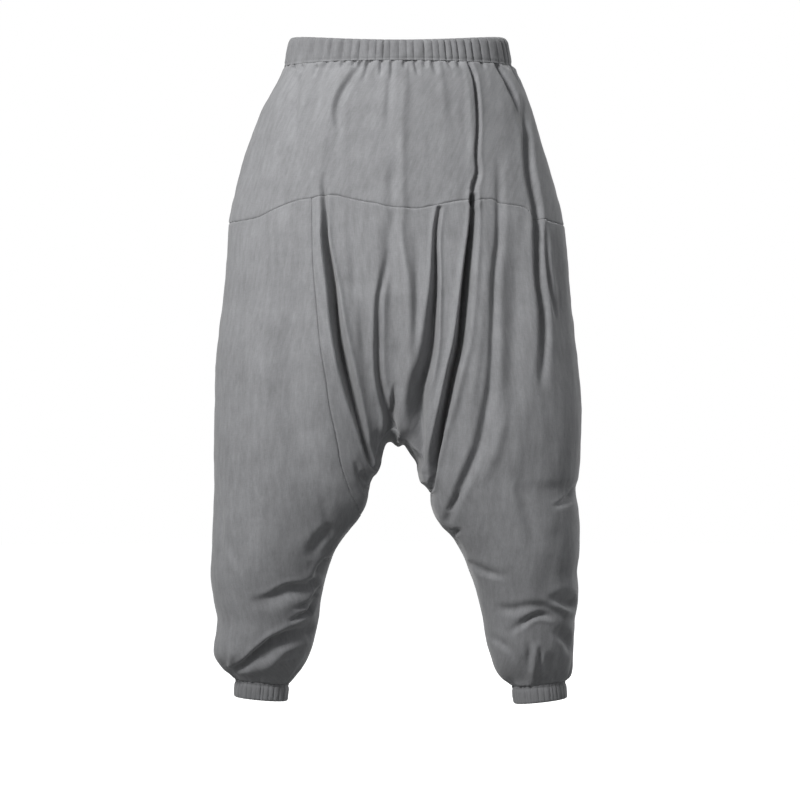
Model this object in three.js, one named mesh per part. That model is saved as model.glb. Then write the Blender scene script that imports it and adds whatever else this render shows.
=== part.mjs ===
// Drop-crotch trousers with a gathered elastic waistband and elastic ankle cuffs,
// standing open as if worn. Millimetres, +Z up, the front faces -Y.
// The origin is the middle of the waistband, where the wearer's waist holds it.
// Left and right are the wearer's, so the right leg is at -X.
//
// Every cloth panel is a closed wall, cut from one shared surface. A point of that
// surface is named by where it lies seen from the front: "across" (x) and "down" (-z).
// Its depth (y) follows from how far it is from the outline, so the side seams, the
// inseams and the crotch seam are the places where the front and the back meet.

import * as THREE from "three";

// Driving dimensions
const CLOTH_WALL = 2;
const CASING_WALL = 3;
const SEAM_GAP = 0.3;
const BAND_TOP = -19; // down, so above the mount
const BAND_BOTTOM = 20;
const FRONT_DIP = 11; // the band's top is this much lower at the front
const BAND_HALF_WIDTH = { top: 148, bottom: 155 };
const BAND_HALF_DEPTH = { top: 104, bottom: 107 };
const BAND_CENTRE = 1.5;
const BAND_GATHERS = { depth: 1.8, samples: 4 };
const YOKE_GATHERS = { count: 26, depth: 3.2, length: 34 };
const CUFF_HEIGHT = 24;
const CUFF_GATHERS = { count: 24, depth: 1.3, samples: 3 };
const ANKLE_GATHERS = { count: 12, depth: 2.2, length: 20 };
const CUFF_HALF_DEPTH = 37;
const CUFFS = {
  right: { centre: -183.5, half: 36.5, down: 855, slope: 0.09, y: 5 },
  left: { centre: 192.7, half: 36.5, down: 858, slope: -0.11, y: 5 },
};

// Grid sizes of the panels
const LEG_COLUMNS = 11;
const CENTRE_COLUMNS = 24;
const YOKE_ROWS = 7;
const SEAM_ROWS = 22; // yoke seam to the end of the centre panel's seams
const SHIN_ROWS = 12; // from there to the cuff

// The outer side seams, seen from the front
const OUTLINE = [
  { down: 20, right: -154.5, left: 158.5 },
  { down: 41, right: -164, left: 170 },
  { down: 71, right: -180, left: 182 },
  { down: 120, right: -199, left: 197 },
  { down: 185, right: -217, left: 216 },
  { down: 234, right: -228, left: 228 },
  { down: 283, right: -232.5, left: 233.5 },
  { down: 332, right: -236, left: 237 },
  { down: 381, right: -242, left: 241.5 },
  { down: 430, right: -247, left: 246 },
  { down: 479, right: -247.5, left: 250 },
  { down: 528, right: -248, left: 250.5 },
  { down: 577, right: -247.5, left: 247.5 },
  { down: 593, right: -247.5, left: 243.5 },
  { down: 626, right: -248.5, left: 247.5 },
  { down: 675, right: -250.5, left: 247.5 },
  { down: 707, right: -252.5, left: 244.5 },
  { down: 740, right: -249, left: 245.5 },
  { down: 772, right: -244, left: 241 },
  { down: 805, right: -249, left: 239.5 },
  { down: 821, right: -248.5, left: 239 },
  { down: 838, right: -236, left: 237.5 },
  { down: 847, right: -226, left: 235 },
  { down: 856, right: -220, left: 229.2 },
  { down: 880, right: -220, left: 229.2 },
];

// How far the cloth stands out to the front and the back of its middle plane, and how
// far in from the side seam and from the crotch arch it has rounded to that depth. The
// lip is the share of its depth that it has close above the arch, where it hangs flat.
const BODY = [
  { down: 20, middle: 0, front: 107, back: 107, side: 156, crotch: 230, lip: 0.5 },
  { down: 41, middle: 0, front: 111, back: 114, side: 166, crotch: 230, lip: 0.5 },
  { down: 71, middle: 0, front: 115, back: 120, side: 181, crotch: 230, lip: 0.5 },
  { down: 120, middle: 0, front: 118, back: 127, side: 198, crotch: 230, lip: 0.5 },
  { down: 185, middle: 0, front: 121, back: 133, side: 208, crotch: 225, lip: 0.5 },
  { down: 234, middle: 0, front: 122, back: 135, side: 204, crotch: 220, lip: 0.5 },
  { down: 332, middle: -2, front: 124, back: 132, side: 184, crotch: 205, lip: 0.5 },
  { down: 430, middle: -4, front: 124, back: 126, side: 157, crotch: 180, lip: 0.5 },
  { down: 528, middle: -6, front: 118, back: 116, side: 126, crotch: 140, lip: 0.5 },
  { down: 577, middle: -7, front: 112, back: 108, side: 112, crotch: 116, lip: 0.5 },
  { down: 626, middle: -8, front: 104, back: 101, side: 100, crotch: 100, lip: 0.4 },
  { down: 675, middle: -7, front: 95, back: 93, side: 84, crotch: 84, lip: 0.3 },
  { down: 707, middle: -5, front: 89, back: 88, side: 76, crotch: 76, lip: 0.2 },
  { down: 740, middle: -2, front: 82, back: 81, side: 71, crotch: 71, lip: 0.1 },
  { down: 772, middle: 1, front: 76, back: 75, side: 66, crotch: 66, lip: 0 },
  { down: 805, middle: 3, front: 69, back: 69, side: 62, crotch: 62, lip: 0 },
  { down: 821, middle: 4, front: 63, back: 63, side: 58, crotch: 58, lip: 0 },
  { down: 838, middle: 5, front: 52, back: 52, side: 50, crotch: 50, lip: 0 },
  { down: 847, middle: 5, front: 44, back: 44, side: 43, crotch: 43, lip: 0 },
  { down: 857, middle: 5, front: 37.5, back: 37.5, side: 37, crotch: 37, lip: 0 },
  { down: 880, middle: 5, front: 37, back: 37, side: 36.5, crotch: 36.5, lip: 0 },
];

// The creases between the waistband's gathers, in degrees from the wearer's right side
// round the front to the left side, and how deep each is. The back repeats them.
const BAND_CREASES = [
  [4, 0.7], [11, 0.6], [20, 0.8], [30, 1], [39.6, 0.6], [48, 0.7], [53, 0.5], [60.3, 1],
  [65.5, 0.6], [70, 1], [75, 0.5], [79, 0.6], [82.6, 1], [86, 0.6], [90.5, 0.6], [94.5, 0.6],
  [98, 0.6], [103.5, 1], [107.8, 0.6], [111.2, 0.5], [115, 1], [118.4, 0.6], [122, 1],
  [127, 1], [131.5, 1], [137.5, 0.8], [144.3, 0.6], [152, 0.6], [160, 1], [166, 1], [173, 0.7],
].map(([degrees, share]) => ({ degrees, share }));

// The inseams, below the ends of the centre panel
const INSEAM = {
  right: [
    { down: 629, across: -49 },
    { down: 636, across: -53.5 },
    { down: 650, across: -65 },
    { down: 675, across: -83 },
    { down: 707, across: -94.5 },
    { down: 740, across: -102.5 },
    { down: 772, across: -106 },
    { down: 805, across: -114 },
    { down: 821, across: -120 },
    { down: 838, across: -130 },
    { down: 850, across: -141 },
    { down: 858, across: -147 },
    { down: 880, across: -147 },
  ],
  left: [
    { down: 600, across: 45 },
    { down: 616, across: 46 },
    { down: 632, across: 52 },
    { down: 644, across: 61 },
    { down: 655, across: 73 },
    { down: 675, across: 86 },
    { down: 704, across: 98.5 },
    { down: 740, across: 110.5 },
    { down: 772, across: 118 },
    { down: 805, across: 124 },
    { down: 821, across: 128.5 },
    { down: 838, across: 134 },
    { down: 852, across: 144 },
    { down: 862, across: 156 },
    { down: 880, across: 156.2 },
  ],
};

// The crotch seam, over the arch between the two inseams
const CROTCH = [
  [-49, 629], [-41, 611], [-36, 589], [-30, 576], [-23, 566], [-18.5, 549], [-12, 535],
  [-3, 532.5], [5, 535], [12, 540], [20, 552], [26, 566], [30, 580], [38, 591], [45, 600],
].map(([across, down]) => ({ across, down }));

// The seams at the two sides of the centre panel, down to the crotch arch
const CENTRE_SEAMS = {
  front: {
    right: [
      [204, -113], [258, -112.5], [298, -111], [331, -108], [398, -101.5], [446, -94],
      [483, -89], [524, -80.5], [560, -74], [588, -65], [604, -59], [629, -49],
    ],
    left: [
      [207, 101], [249, 99.5], [290, 95.5], [347, 89], [395, 83], [433, 74.5],
      [481, 64], [522, 55], [561, 48.5], [600, 45],
    ],
  },
  back: {
    right: [
      [207, -113], [258, -112.5], [298, -111], [331, -108], [398, -101.5], [446, -94],
      [483, -89], [524, -80.5], [560, -74], [588, -65], [604, -59], [629, -49],
    ],
    left: [
      [207, 113], [258, 112], [298, 110], [347, 105], [398, 99], [446, 90],
      [483, 82], [524, 71], [561, 59], [600, 45],
    ],
  },
};

// The yoke seam
const YOKE_SEAM = {
  front: [
    [-228, 232.5], [-186, 227], [-143, 210], [-113, 203], [-81, 200.5], [-42, 209],
    [11, 217], [40, 216], [66, 210.5], [95, 206], [127, 205], [148, 211], [175, 217],
    [199, 229], [228, 235],
  ],
  back: [[-228, 232.5], [-150, 213], [-75, 207], [0, 205], [75, 207], [150, 213], [228, 235]],
};

// The folds. Each runs along a path of [across, down] points. Its depths are inward, and
// negative ones make a ridge. They are spaced evenly along it.
// "through" folds run on over the crotch seam to the other side.
const FRONT_FOLDS = [
  { name: "right pleat", path: [[-97, 169], [-96, 225], [-92, 284], [-71, 419], [-47, 509], [-28, 567]], width: 11, depths: [0, 6, 12, 16, 17, 16, 12, 2], through: true },
  { name: "left yoke pleat", path: [[96, 21], [105, 55], [107, 78], [106, 144], [108, 170], [101, 209]], width: 9, depths: [4, 6, 7, 8] },
  { name: "left pleat", path: [[102, 201], [100, 249], [89, 347], [74, 433], [55, 522], [45, 591]], width: 12, depths: [7, 14, 18, 20, 19, 12, 2], through: true },
  { name: "centre groove", path: [[-10, 271], [-24, 340], [-25, 386], [-22, 451], [-16, 478], [-7, 532]], width: 11, depths: [0, 7, 9, 9, 8, 2], through: true },
  { name: "left centre groove", path: [[57, 218], [52, 266], [49, 363], [40, 430], [28, 493], [28, 556]], width: 13, depths: [3, 9, 12, 15, 14, 8, 2], through: true },
  { name: "centre ridge", path: [[14, 36], [7, 135], [7, 226], [16, 339], [13, 433], [6, 533]], width: 12, depths: [-1, -3, -4, -5, -4, -1], through: true },
  { name: "left curved drag", path: [[136, 139], [136, 258], [128, 370], [117, 494], [93, 571], [68, 633]], width: 14, depths: [0, 4, 7, 9, 9, 8, 5, 0] },
  { name: "left waist drag", path: [[136, 21], [145, 35], [153, 50], [161, 67], [165, 85], [167, 110]], width: 10, depths: [4, 5, 0] },
  { name: "left side drag", path: [[167, 39], [175, 95], [188, 215], [190, 258], [196, 350], [194, 462]], width: 12, depths: [0, 7, 9, 8, 4, 0] },
  { name: "right yoke feeder", path: [[-48, 28], [-64, 47], [-75, 67], [-80, 86], [-78, 105], [-74, 127]], width: 10, depths: [3, 5, 3, 0] },
  { name: "right hip hollow", path: [[-178, 54], [-188, 110], [-202, 170], [-216, 222]], width: 14, depths: [0, 5, 5, 0] },
  { name: "right thigh hollow", path: [[-151, 232], [-158, 326], [-172, 401], [-168, 526]], width: 22, depths: [0, 7, 8, 6, 0] },
  { name: "crotch hollow", path: [[-4, 333], [-2, 441], [3, 558]], width: 42, depths: [0, 12, 17, 10], through: true },
  { name: "left side notch", path: [[246, 590], [239, 594], [232, 602], [221, 610], [207, 617]], width: 9, depths: [7, 5, 0] },
  { name: "left knee fold", path: [[248, 749], [233, 747], [219, 742], [201, 738]], width: 11, depths: [7, 6, 0] },
  { name: "left shin fold", path: [[148, 788], [160, 779], [172, 771], [192, 762], [202, 763], [214, 767]], width: 10, depths: [0, 4, 6, 0] },
  { name: "left calf hollow", path: [[214, 778], [222, 788], [230, 797], [235, 808]], width: 9, depths: [0, 5, 4] },
  { name: "left ankle ridge", path: [[186, 796], [185, 815], [185, 834], [184, 852]], width: 9, depths: [0, -4, -2] },
  { name: "right ankle fold", path: [[-226, 838], [-205, 828], [-192, 817], [-165, 797], [-145, 790], [-112, 787]], width: 11, depths: [2, 9, 12, 11, 5] },
  { name: "right knee fold", path: [[-113, 722], [-125, 725], [-148, 726], [-159, 731], [-183, 741], [-202, 746]], width: 10, depths: [4, 6, 4, 0] },
  { name: "second knee crease", path: [[-106, 740], [-115, 754], [-118, 760], [-130, 764], [-146, 771]], width: 9, depths: [2, 4, 0] },
  { name: "right crotch hollow", path: [[-118, 687], [-111, 671], [-98, 655], [-84, 639]], width: 10, depths: [0, 4, 0] },
];

const BACK_FOLDS = [
  { name: "right seat pleat", path: [[-104, 190], [-96, 320], [-70, 450], [-34, 560]], width: 12, depths: [0, 9.1, 15, 15, 9.7, 1.5] },
  { name: "left seat pleat", path: [[92, 170], [88, 310], [72, 440], [38, 572]], width: 12, depths: [0, 9.7, 16, 16, 10.3, 1.6] },
  { name: "seat groove", path: [[-36, 225], [-32, 330], [-24, 430], [-12, 520]], width: 12, depths: [0, 5.5, 9, 9, 5.8, 0.9] },
  { name: "left seat groove", path: [[34, 240], [36, 350], [28, 440], [16, 530]], width: 12, depths: [0, 6.7, 11, 11, 7.1, 1.1] },
  { name: "seat hollow", path: [[0, 350], [0, 450], [0, 560]], width: 44, depths: [0, 9.1, 15, 15, 12.6, 9] },
  { name: "right seat drag", path: [[-176, 240], [-160, 400], [-112, 560]], width: 14, depths: [0, 4.9, 8, 8, 4.9, 0] },
  { name: "left seat drag", path: [[168, 215], [158, 380], [120, 540]], width: 13, depths: [0, 4.9, 8, 8, 4.9, 0] },
  { name: "right knee hollow", path: [[-110, 690], [-160, 706], [-222, 690]], width: 9, depths: [2.4, 5.8, 8, 8, 4.9, 0] },
  { name: "left knee hollow", path: [[108, 702], [160, 690], [226, 712]], width: 9, depths: [2.4, 5.8, 8, 8, 4.9, 0] },
  { name: "right calf fold", path: [[-118, 790], [-160, 774], [-214, 790]], width: 8, depths: [3.2, 6.1, 8, 8, 4.9, 0] },
  { name: "left calf fold", path: [[130, 806], [176, 786], [226, 778]], width: 8, depths: [1.6, 5.5, 8, 8, 5.5, 1.6] },
  { name: "right yoke drag", path: [[-120, 22], [-132, 100], [-150, 190]], width: 10, depths: [2.8, 4.1, 5, 5, 3, 0] },
  { name: "left yoke drag", path: [[112, 22], [122, 90], [150, 180]], width: 9, depths: [2.5, 4, 5, 5, 3, 0] },
];

const TURN = 2 * Math.PI;
const STEP = 0.25; // for slopes worked out by differences

const mix = (a, b, t) => a + (b - a) * t;
const clamp01 = (t) => Math.min(1, Math.max(0, t));
const smooth = (t) => clamp01(t) ** 2 * (3 - 2 * clamp01(t));

// A smooth curve through rows of [at, value], with the slope of each row's neighbours.
function curve(rows) {
  const last = rows.length - 1;
  const slope = rows.map((_, i) => {
    const [a, b] = [rows[Math.max(i - 1, 0)], rows[Math.min(i + 1, last)]];
    return (b[1] - a[1]) / (b[0] - a[0]);
  });
  return (at) => {
    if (at <= rows[0][0]) return rows[0][1];
    if (at >= rows[last][0]) return rows[last][1];
    let i = 0;
    while (at > rows[i + 1][0]) i++;
    const span = rows[i + 1][0] - rows[i][0];
    const t = (at - rows[i][0]) / span;
    const s = t * t * (3 - 2 * t);
    const leave = t * (1 - t) ** 2 * slope[i];
    const arrive = t * t * (t - 1) * slope[i + 1];
    return mix(rows[i][1], rows[i + 1][1], s) + span * (leave + arrive);
  };
}

const column = (table, name) => curve(table.map((row) => [row.down, row[name]]));

const edge = { right: column(OUTLINE, "right"), left: column(OUTLINE, "left") };
const body = Object.fromEntries(
  ["middle", "front", "back", "side", "crotch", "lip"].map((name) => [name, column(BODY, name)]),
);
const inseam = {
  right: column(INSEAM.right, "across"),
  left: column(INSEAM.left, "across"),
};
const centreSeam = Object.fromEntries(
  Object.entries(CENTRE_SEAMS).map(([side, pair]) => [
    side,
    { right: curve(pair.right), left: curve(pair.left) },
  ]),
);
const yokeSeam = { front: curve(YOKE_SEAM.front), back: curve(YOKE_SEAM.back) };

// Points evenly along a smooth path through the given {across, down} points.
function along(points, count) {
  const path = new THREE.CatmullRomCurve3(
    points.map((p) => new THREE.Vector3(p.across, p.down, 0)),
    false,
    "centripetal",
  );
  return path.getSpacedPoints(count).map((p) => ({ across: p.x, down: p.y }));
}

// The whole arch as a line of points: up the right inseam, over the crotch and down
// the left inseam. The cloth is on the left of this line as it is walked.
const CROTCH_STEPS = 60;
const INSEAM_STEP = 6;
function archLine() {
  const line = along(CROTCH, CROTCH_STEPS);
  const end = 900;
  for (let down = CROTCH[0].down + INSEAM_STEP; down < end; down += INSEAM_STEP)
    line.unshift({ across: inseam.right(down), down });
  for (let down = CROTCH.at(-1).down + INSEAM_STEP; down < end; down += INSEAM_STEP)
    line.push({ across: inseam.left(down), down });
  return line;
}
const ARCH = archLine();

// The nearest place on a line of points: how far away, on which side, how far along.
function nearest(line, across, down) {
  let best = { away: Infinity, side: 1, along: 0 };
  for (let i = 0; i + 1 < line.length; i++) {
    const [a, b] = [line[i], line[i + 1]];
    const [ux, ud] = [b.across - a.across, b.down - a.down];
    const [px, pd] = [across - a.across, down - a.down];
    const t = clamp01((px * ux + pd * ud) / (ux * ux + ud * ud));
    const away = Math.hypot(px - t * ux, pd - t * ud);
    if (away < best.away)
      best = { away, side: ux * pd - ud * px < 0 ? 1 : -1, along: (i + t) / (line.length - 1) };
  }
  return best;
}

// How far a place is above the crotch arch, or outside an inseam.
function fromArch(across, down) {
  const near = nearest(ARCH, across, down);
  return near.away * near.side;
}

// A quarter circle's rise: 0 at the edge, 1 from there on where it is fully round.
const rounding = (share) => (share < 1 ? share * (2 - share) : 1);

// The square of the share of its depth that the cloth has above the arch: the lip rises
// within a short way, and the rest as one long quarter circle.
const LIP_REACH = 9;
function archRise(across, down) {
  const above = fromArch(across, down);
  const slow = Math.sqrt(rounding(Math.abs(above) / body.crotch(down)));
  const quick = Math.sqrt(rounding(Math.abs(above) / LIP_REACH));
  return Math.sign(above) * mix(slow, quick, body.lip(down)) ** 2;
}

// The square of the share of its full depth that the cloth has at a place.
function fullness(across, down) {
  const side = body.side(down);
  return (
    rounding((across - edge.right(down)) / side) *
    rounding((edge.left(down) - across) / side) *
    archRise(across, down)
  );
}

const legSide = (across) => (across < 0 ? "right" : "left");
const cuffTop = (cuff, across) => cuff.down + cuff.slope * (across - cuff.centre);

// Turns a normal into the plane of the waistband or the cuff that it is close to, so
// that the wall ends square against it.
const SQUARE_EASE = 14;
function squared(normal, across, down) {
  const cuff = CUFFS[legSide(across)];
  const fromCuff = cuffTop(cuff, across) - down;
  const free = smooth((down - BAND_BOTTOM) / SQUARE_EASE) * smooth(fromCuff / SQUARE_EASE);
  const inPlane = fromCuff < SQUARE_EASE ? -cuff.slope * normal.x : 0;
  normal.z = mix(inPlane, normal.z, free);
  return normal.normalize();
}

// The smooth surface with no folds: a point on it and its outward normal.
function bare(side, across, down, onSeam) {
  const out = side === "front" ? -1 : 1;
  const depth = body[side](down);
  const full = onSeam ? 0 : Math.max(0, fullness(across, down));
  const reach = out * depth * Math.sqrt(full);
  const slope = (f) => (f(STEP) - f(-STEP)) / (2 * STEP);
  const perAcross = slope((h) => fullness(across + h, down));
  const perDown = slope((h) => fullness(across, down + h));
  const middleSlope = slope((h) => body.middle(down + h));
  const depthSlope = slope((h) => body[side](down + h));
  const pull = (2 * reach) / depth ** 2;
  const normal = new THREE.Vector3(
    -perAcross,
    pull,
    pull * middleSlope + (pull * reach * depthSlope) / depth + perDown,
  ).normalize();
  const point = new THREE.Vector3(across, body.middle(down) + reach, -down);
  return { point, normal: squared(normal, across, down), full };
}

// A value of a list that is spread evenly from 0 to 1.
function spread(values, t) {
  const at = t * (values.length - 1);
  const i = Math.min(Math.floor(at), values.length - 2);
  return mix(values[i], values[i + 1], at - i);
}

// A trough with a low shoulder on each side.
const trough = (u) => (1 - 0.5 * u * u) * Math.exp(-0.5 * u * u);

const FOLD_STEPS = 16;
const prepare = (folds) =>
  folds.map((fold) => ({
    ...fold,
    line: along(fold.path.map(([across, down]) => ({ across, down })), FOLD_STEPS),
  }));
const FOLDS = { front: prepare(FRONT_FOLDS), back: prepare(BACK_FOLDS) };
const FOLD_REACH = 4.5; // in widths

function foldHeight(fold, across, down) {
  const near = nearest(fold.line, across, down);
  const u = near.away / fold.width;
  if (u > FOLD_REACH) return 0;
  return -spread(fold.depths, near.along) * trough(u);
}

// Gather waves, uneven in spacing and depth, around a ring. 0 is a crease, 1 a crest.
const wander = (angle) =>
  1.1 * Math.sin(3 * angle + 0.5) + 0.8 * Math.sin(7 * angle + 1) + 0.5 * Math.sin(13 * angle);
const gatherWave = (angle, count) => Math.abs(Math.sin((count * angle + wander(angle)) / 2));
const gatherDepth = (angle) => 0.8 + 0.3 * Math.sin(5 * angle + 2) + 0.2 * Math.sin(11 * angle);

// The angle around a ring at which the wave has turned by a number of turns.
function gatherAngle(turns, count) {
  let angle = (turns * TURN) / count;
  for (let i = 0; i < 12; i++) angle = (turns * TURN - wander(angle)) / count;
  return angle;
}

// Gathers that fade away from the waistband and from the cuffs.
function gathers(point, across, down) {
  const waist = Math.atan2(point.y / BAND_HALF_DEPTH.bottom, across / BAND_HALF_WIDTH.bottom);
  const fromBand = (down - BAND_BOTTOM) / (YOKE_GATHERS.length * gatherDepth(waist + 1));
  const cuff = CUFFS[legSide(across)];
  const ankle = Math.atan2(point.y - cuff.y, across - cuff.centre);
  const fromCuff = (cuffTop(cuff, across) - down) / ANKLE_GATHERS.length;
  return (
    YOKE_GATHERS.depth * gatherDepth(waist) * Math.exp(-fromBand) *
      (gatherWave(waist, YOKE_GATHERS.count) - 0.7) +
    ANKLE_GATHERS.depth * Math.exp(-Math.max(0, fromCuff)) *
      (gatherWave(ankle, ANKLE_GATHERS.count) - 0.7)
  );
}

// How far the cloth stands proud of the bare surface.
const SEAM_CALM = 0.22; // folds die out towards the side seams and inseams
const THROUGH_REACH = 60;
const RIM_REACH = 7; // "through" folds die out this close to the crotch and inseams
function relief(side, across, down, place) {
  const calm = smooth(place.full / SEAM_CALM);
  const above = Math.max(0, fromArch(across, down));
  const over = 1 - smooth(above / THROUGH_REACH);
  const rim = 1 - Math.exp(-above / RIM_REACH);
  let height = gathers(place.point, across, down);
  for (const fold of FOLDS[side])
    height += foldHeight(fold, across, down) * (fold.through ? rim : calm);
  if (side === "back" && over > 0)
    for (const fold of FOLDS.front.filter((f) => f.through))
      height += foldHeight(fold, across, down) * over * rim;
  return height;
}

// A point of the cloth's outer face and the point of its inner face behind it.
function cloth(side, across, down, onSeam = false) {
  const place = bare(side, across, down, onSeam);
  const height = relief(side, across, down, place);
  return {
    outer: place.point.clone().addScaledVector(place.normal, height),
    inner: place.point.clone().addScaledVector(place.normal, height - CLOTH_WALL),
  };
}

// A closed wall from a grid of {outer, inner} points. A ring joins its last column to
// its first. "flip" is for a grid whose rows run down when its columns run clockwise.
function wall(grid, { ring = false, flip = false } = {}) {
  const rows = grid.length;
  const columns = grid[0].length;
  const points = [];
  for (const face of ["outer", "inner"])
    for (const row of grid) for (const place of row) points.push(...place[face].toArray());
  const at = (face, r, c) => face * rows * columns + r * columns + (c % columns);
  const faces = [];
  const quad = (a, b, c, d) => faces.push(...(flip ? [a, c, b, a, d, c] : [a, b, c, a, c, d]));
  const spans = ring ? columns : columns - 1;
  for (let r = 0; r + 1 < rows; r++)
    for (let c = 0; c < spans; c++) {
      quad(at(0, r, c), at(0, r + 1, c), at(0, r + 1, c + 1), at(0, r, c + 1));
      quad(at(1, r, c), at(1, r, c + 1), at(1, r + 1, c + 1), at(1, r + 1, c));
    }
  for (let c = 0; c < spans; c++) {
    const end = rows - 1;
    quad(at(0, 0, c), at(0, 0, c + 1), at(1, 0, c + 1), at(1, 0, c));
    quad(at(0, end, c + 1), at(0, end, c), at(1, end, c), at(1, end, c + 1));
  }
  for (let r = 0; !ring && r + 1 < rows; r++) {
    const end = columns - 1;
    quad(at(0, r + 1, 0), at(0, r, 0), at(1, r, 0), at(1, r + 1, 0));
    quad(at(0, r, end), at(0, r + 1, end), at(1, r + 1, end), at(1, r, end));
  }
  const geometry = new THREE.BufferGeometry();
  geometry.setAttribute("position", new THREE.Float32BufferAttribute(points, 3));
  geometry.setIndex(faces);
  geometry.computeVertexNormals();
  return geometry;
}

// Draws a panel's edges in by half the seam gap, each point towards its neighbour.
function trimmed(grid) {
  const [rows, columns] = [grid.length, grid[0].length];
  const towards = (face, r, c, r2, c2) =>
    grid[r2][c2][face].clone().sub(grid[r][c][face]).normalize().multiplyScalar(SEAM_GAP / 2);
  return grid.map((row, r) =>
    row.map((place, c) => {
      const moved = {};
      for (const face of ["outer", "inner"]) {
        moved[face] = place[face].clone();
        if (r === 0) moved[face].add(towards(face, r, c, 1, c));
        if (r === rows - 1) moved[face].add(towards(face, r, c, rows - 2, c));
        if (c === 0) moved[face].add(towards(face, r, c, r, 1));
        if (c === columns - 1) moved[face].add(towards(face, r, c, r, columns - 2));
      }
      return moved;
    }),
  );
}

const counted = (count, make) => Array.from({ length: count + 1 }, (_, i) => make(i / count, i));

// Shares across a leg panel from its side seam. They bunch at the side seam, and below
// the centre panel at the inseam too, where the cloth turns away.
const fromOneSide = (t) => 1 - Math.cos((t * Math.PI) / 2);
const fromBothSides = (t) => (1 - Math.cos(t * Math.PI)) / 2;

// Shares down the centre panel's seams, closer together towards the crotch.
const DOWN_EASE = 0.7;
const easedDown = (t) => mix(t, Math.sin((t * Math.PI) / 2), DOWN_EASE);

// The yoke seam's columns: leg, centre panel, leg.
function yokeColumns(side) {
  const seams = { right: CENTRE_SEAMS[side].right[0][1], left: CENTRE_SEAMS[side].left[0][1] };
  const ends = { right: OUTLINE_AT_YOKE.right, left: OUTLINE_AT_YOKE.left };
  return [
    ...counted(LEG_COLUMNS, (t) => mix(ends.right, seams.right, fromOneSide(t))),
    ...counted(CENTRE_COLUMNS, (t) => mix(seams.right, seams.left, t)).slice(1),
    ...counted(LEG_COLUMNS, (t) => mix(seams.left, ends.left, 1 - fromOneSide(1 - t))).slice(1),
  ];
}
const YOKE_SIDE_DOWN = { right: YOKE_SEAM.front[0][1], left: YOKE_SEAM.front.at(-1)[1] };
const OUTLINE_AT_YOKE = {
  right: edge.right(YOKE_SIDE_DOWN.right),
  left: edge.left(YOKE_SIDE_DOWN.left),
};

function yoke(side) {
  const columns = yokeColumns(side);
  const width = OUTLINE_AT_YOKE.left - OUTLINE_AT_YOKE.right;
  const top = BAND_BOTTOM + SEAM_GAP / 2;
  return trimmed(
    counted(YOKE_ROWS, (t) =>
      columns.map((bottom, c) => {
        const share = (bottom - OUTLINE_AT_YOKE.right) / width;
        const onSeam = c === 0 || c === columns.length - 1;
        const down = mix(top, yokeSeam[side](bottom), t);
        const right = edge.right(mix(top, YOKE_SIDE_DOWN.right, t));
        const left = edge.left(mix(top, YOKE_SIDE_DOWN.left, t));
        return cloth(side, mix(right, left, share), down, onSeam);
      }),
    ),
  );
}

// The centre panel, from the yoke seam to the crotch seam. Its four edges are blended.
function centrePanel(side) {
  const seam = CENTRE_SEAMS[side];
  const columns = yokeColumns(side).slice(LEG_COLUMNS, LEG_COLUMNS + CENTRE_COLUMNS + 1);
  const crotch = along(CROTCH, CENTRE_COLUMNS);
  const top = columns.map((across) => ({ across, down: yokeSeam[side](across) }));
  const sideEdge = (name, corner, end) =>
    counted(SEAM_ROWS, (t) => {
      const down = mix(corner.down, end.down, easedDown(t));
      const ends = t === 0 ? corner.across : end.across;
      return { down, across: t === 0 || t === 1 ? ends : centreSeam[side][name](down) };
    });
  const right = sideEdge("right", top[0], crotch[0]);
  const left = sideEdge("left", top.at(-1), crotch.at(-1));
  return trimmed(
    counted(SEAM_ROWS, (_, r) =>
      counted(CENTRE_COLUMNS, (s, c) => {
        const t = easedDown(r / SEAM_ROWS);
        const blend = (k) =>
          mix(top[c][k], crotch[c][k], t) +
          mix(right[r][k], left[r][k], s) -
          mix(mix(top[0][k], top.at(-1)[k], s), mix(crotch[0][k], crotch.at(-1)[k], s), t);
        return cloth(side, blend("across"), blend("down"), r === SEAM_ROWS);
      }),
    ),
  );
}

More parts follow.
